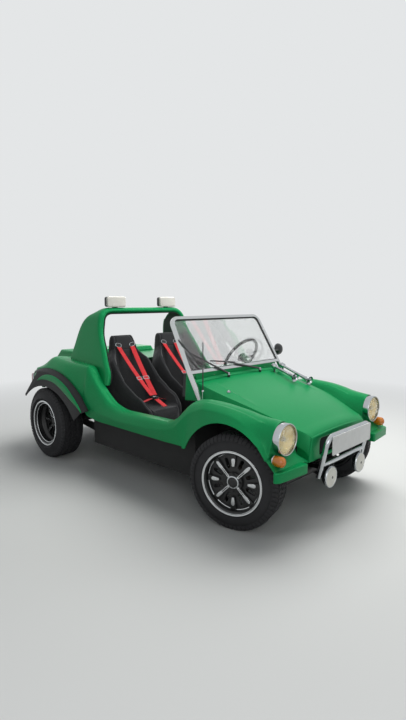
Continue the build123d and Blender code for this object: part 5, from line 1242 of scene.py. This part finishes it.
belt_meshes.append(strap("crotch", [(1086, seat_y, 562), (1050, seat_y, 580), (1000, seat_y, 600), (968, seat_y, buckle_z - 4)],
                         46, 2.4, 2))
buckle_place = Matrix.Translation(at(buckle_b - wheelbase, seat_y, buckle_z))
plastic_meshes.append(flat_plate("buckle", [rounded_box(31, 31, 14)], 24, 4, buckle_place))
steel_meshes.append(turned("dial", [(0, 10), (19, 10), (19, 14), (15, 16.5), (0, 17)], buckle_place, 40, 1))
steel_meshes.append(flat_plate("tongues", [rounded_box(41, 13, 4)], 5, 1, buckle_place))
steel_meshes.append(flat_plate("tongues", [rounded_box(13, 38, 4)], 5, 1, buckle_place))
# Red nylon webbing with its ribbed weave.
webbing, tree, shader, place = start_material("red_nylon_webbing", "#B3121B", 0.6, Sheen_Weight=0.2)
ribs = add_node(tree, "ShaderNodeTexWave", {"Vector": place, "Scale": per_metre(2) / 3.18}, bands_direction="Z")
shade = add_node(tree, "ShaderNodeTexNoise", {"Vector": place, "Scale": per_metre(40), "Detail": 3.0})
two_tones(tree, shader, "#A40D16", "#CB1F26", shade.outputs["Fac"])
relief(tree, shader, ribs.outputs["Fac"], 0.3, 0.6)
belts = joined("harness_webbing_left", belt_meshes, webbing)
belts_twin = other_side(belts, "harness_webbing_right")
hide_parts("harnesses")
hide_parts("harnesses")
steel = joined("harness_steel_left", steel_meshes, chrome)
other_side(steel, "harness_steel_right")
plastic = joined("harness_buckle_left", plastic_meshes, black_steel)
other_side(plastic, "harness_buckle_right")

# Cabin: the pressed steel floor with its tunnel, the bulkheads and the tank tray under the lid, all
# sprayed with black stone-chip coating, and the padded dashboard.
coating, tree, shader, place = start_material("stone_chip_coating", "#141516", 0.8)
pimples = add_node(tree, "ShaderNodeTexNoise", {"Vector": place, "Scale": per_metre(3.5), "Detail": 2.0})
dirt = add_node(tree, "ShaderNodeTexNoise", {"Vector": place, "Scale": per_metre(80), "Detail": 5.0})
two_tones(tree, shader, "#101112", "#212121", dirt.outputs["Fac"])
relief(tree, shader, pimples.outputs["Fac"], 0.8, 0.6)
softened("coated_floor", "floor_tub", coating, 2, segments=2)
softened("coated_bulkhead", "rear_bulkhead", coating, 1.5, segments=2)
softened("coated_tank_tray", "front_tub", coating, 1.5, segments=2)
softened("padded_dashboard", "dashboard", vinyl, 10, segments=5)

# Steering: a column of black steel tube and a leather-covered wheel on three drilled spokes, with a
# plain padded boss.
softened("painted_column", "steering_column", black_steel, 1.5)
softened("leather_wheel", "steering_wheel", vinyl, 1, "steering", segments=2)
hub = at(-740, 330, 955)
hub_way = at(-740 - 100 * cos(radians(32)), 330, 955 + 100 * sin(radians(32)))
boss = [(0, -12), (40, -12), (42, -6), (40, 2), (30, 9), (0, 12)]
boss_pad = finish_shape(put("steering_boss", turned("steering_boss", boss, along(hub, hub_way), 48, 3), vinyl, "steering"))

# Running gear: the front beam with its trailing arms, the knuckles, the rear axle and the exhaust in
# satin black chassis paint with road dust, and the engine as one plain cast alloy block.
chassis, tree, shader, place = start_material("satin_chassis_paint", "#18191A", 0.5)
road = add_node(tree, "ShaderNodeTexNoise", {"Vector": place, "Scale": per_metre(45), "Detail": 6.0})
two_tones(tree, shader, "#131415", "#2A2927", road.outputs["Fac"])
relief(tree, shader, road.outputs["Fac"], 0.4, 0.4)
softened("painted_front_beam", "front_beam", chassis, 3)
for side_name in ("left", "right"):
    softened(f"forged_knuckle_{side_name}", f"knuckle_{side_name}", chassis, 2, f"knuckle_{side_name}")
softened("painted_rear_axle", "rear_axle", chassis, 3)
softened("painted_exhaust", "exhaust", chassis, 2)
cast_alloy, tree, shader, place = start_material("dull_cast_alloy", "#5E6062", 0.55, Metallic=0.8)
sand = add_node(tree, "ShaderNodeTexNoise", {"Vector": place, "Scale": per_metre(4), "Detail": 4.0})
oil = add_node(tree, "ShaderNodeTexNoise", {"Vector": place, "Scale": per_metre(110), "Detail": 4.0})
two_tones(tree, shader, "#45464A", "#6C6E70", oil.outputs["Fac"])
relief(tree, shader, sand.outputs["Fac"], 0.5, 0.5)
softened("cast_engine_block", "engine_block", cast_alloy, 10, segments=4)

# Camera, floor and light
camera = bpy.data.objects.new("camera", bpy.data.cameras.new("camera"))
bpy.context.scene.collection.objects.link(camera)
camera.location = (3.02766, -2.87338, 1.42854)
camera.rotation_euler = (radians(83.0856), 0, radians(44.0129))
camera.data.lens, camera.data.sensor_width, camera.data.sensor_fit = 23.9245, 36, "AUTO"
bpy.context.scene.camera = camera

floor_mesh = bpy.data.meshes.new("floor")
floor_mesh.from_pydata([(-40, -40, 0), (40, -40, 0), (40, 40, 0), (-40, 40, 0)], [], [(0, 1, 2, 3)])
floor = bpy.data.objects.new("floor", floor_mesh)
bpy.context.scene.collection.objects.link(floor)
# Pale studio paper. Far from the car it fades, for what the camera and its reflections see, into the backdrop.
paper, tree, shader, place = start_material("pale_floor", "#D2D3D0", 0.8)
distance = add_node(tree, "ShaderNodeVectorMath", {0: place}, operation="LENGTH")
fade = add_node(tree, "ShaderNodeMapRange", {"Value": distance.outputs["Value"], "From Min": 1.8, "From Max": 5.5})
rays = add_node(tree, "ShaderNodeLightPath")
direct = add_node(tree, "ShaderNodeMath", {0: rays.outputs["Is Camera Ray"], 1: rays.outputs["Is Glossy Ray"]},
                  operation="MAXIMUM")
direct = add_node(tree, "ShaderNodeMath", {0: direct.outputs[0], 1: rays.outputs["Is Transmission Ray"]},
                  operation="MAXIMUM")
share = add_node(tree, "ShaderNodeMath", {0: direct.outputs[0], 1: fade.outputs[0]}, operation="MULTIPLY")
backdrop = add_node(tree, "ShaderNodeEmission", {"Color": linear("#E4E6E7"), "Strength": 1.0})
blend = add_node(tree, "ShaderNodeMixShader", {0: share.outputs[0], 1: shader.outputs[0], 2: backdrop.outputs[0]})
tree.links.new(blend.outputs[0], [n for n in tree.nodes if n.type == "OUTPUT_MATERIAL"][0].inputs["Surface"])
floor.data.materials.append(paper)

for name, location, size, power in (("overhead", (0.7, 1.5, 4.2), 4.0, 258), ("front_right", (4.5, -4.0, 3.0), 3.0, 48),
                                    ("rear_left", (-4.0, 3.5, 3.2), 3.0, 45)):
    light = bpy.data.objects.new(name, bpy.data.lights.new(name, "AREA"))
    light.data.energy, light.data.size = power, size
    light.location = location
    light.rotation_euler = (Vector(location) - Vector((0, 0, 0.5))).to_track_quat("Z", "Y").to_euler()
    light.visible_glossy = name != "overhead"
    bpy.context.scene.collection.objects.link(light)

world = bpy.data.worlds.new("studio")
bpy.context.scene.world = world
world.use_nodes = True
tree = world.node_tree
tree.nodes.clear()
path = add_node(tree, "ShaderNodeLightPath")
seen = add_node(tree, "ShaderNodeMath", {0: path.outputs["Is Camera Ray"], 1: path.outputs["Is Glossy Ray"]},
                operation="MAXIMUM")
seen = add_node(tree, "ShaderNodeMath", {0: seen.outputs[0], 1: path.outputs["Is Transmission Ray"]},
                operation="MAXIMUM")
pale = add_node(tree, "ShaderNodeBackground", {"Color": linear("#E4E6E7"), "Strength": 1.0})
fill = add_node(tree, "ShaderNodeBackground", {"Color": linear("#DDE3EA"), "Strength": 0.24})
both = add_node(tree, "ShaderNodeMixShader", {0: seen.outputs[0], 1: fill.outputs[0], 2: pale.outputs[0]})
add_node(tree, "ShaderNodeOutputWorld", {"Surface": both.outputs[0]})
bpy.context.scene.view_settings.view_transform = "Standard"
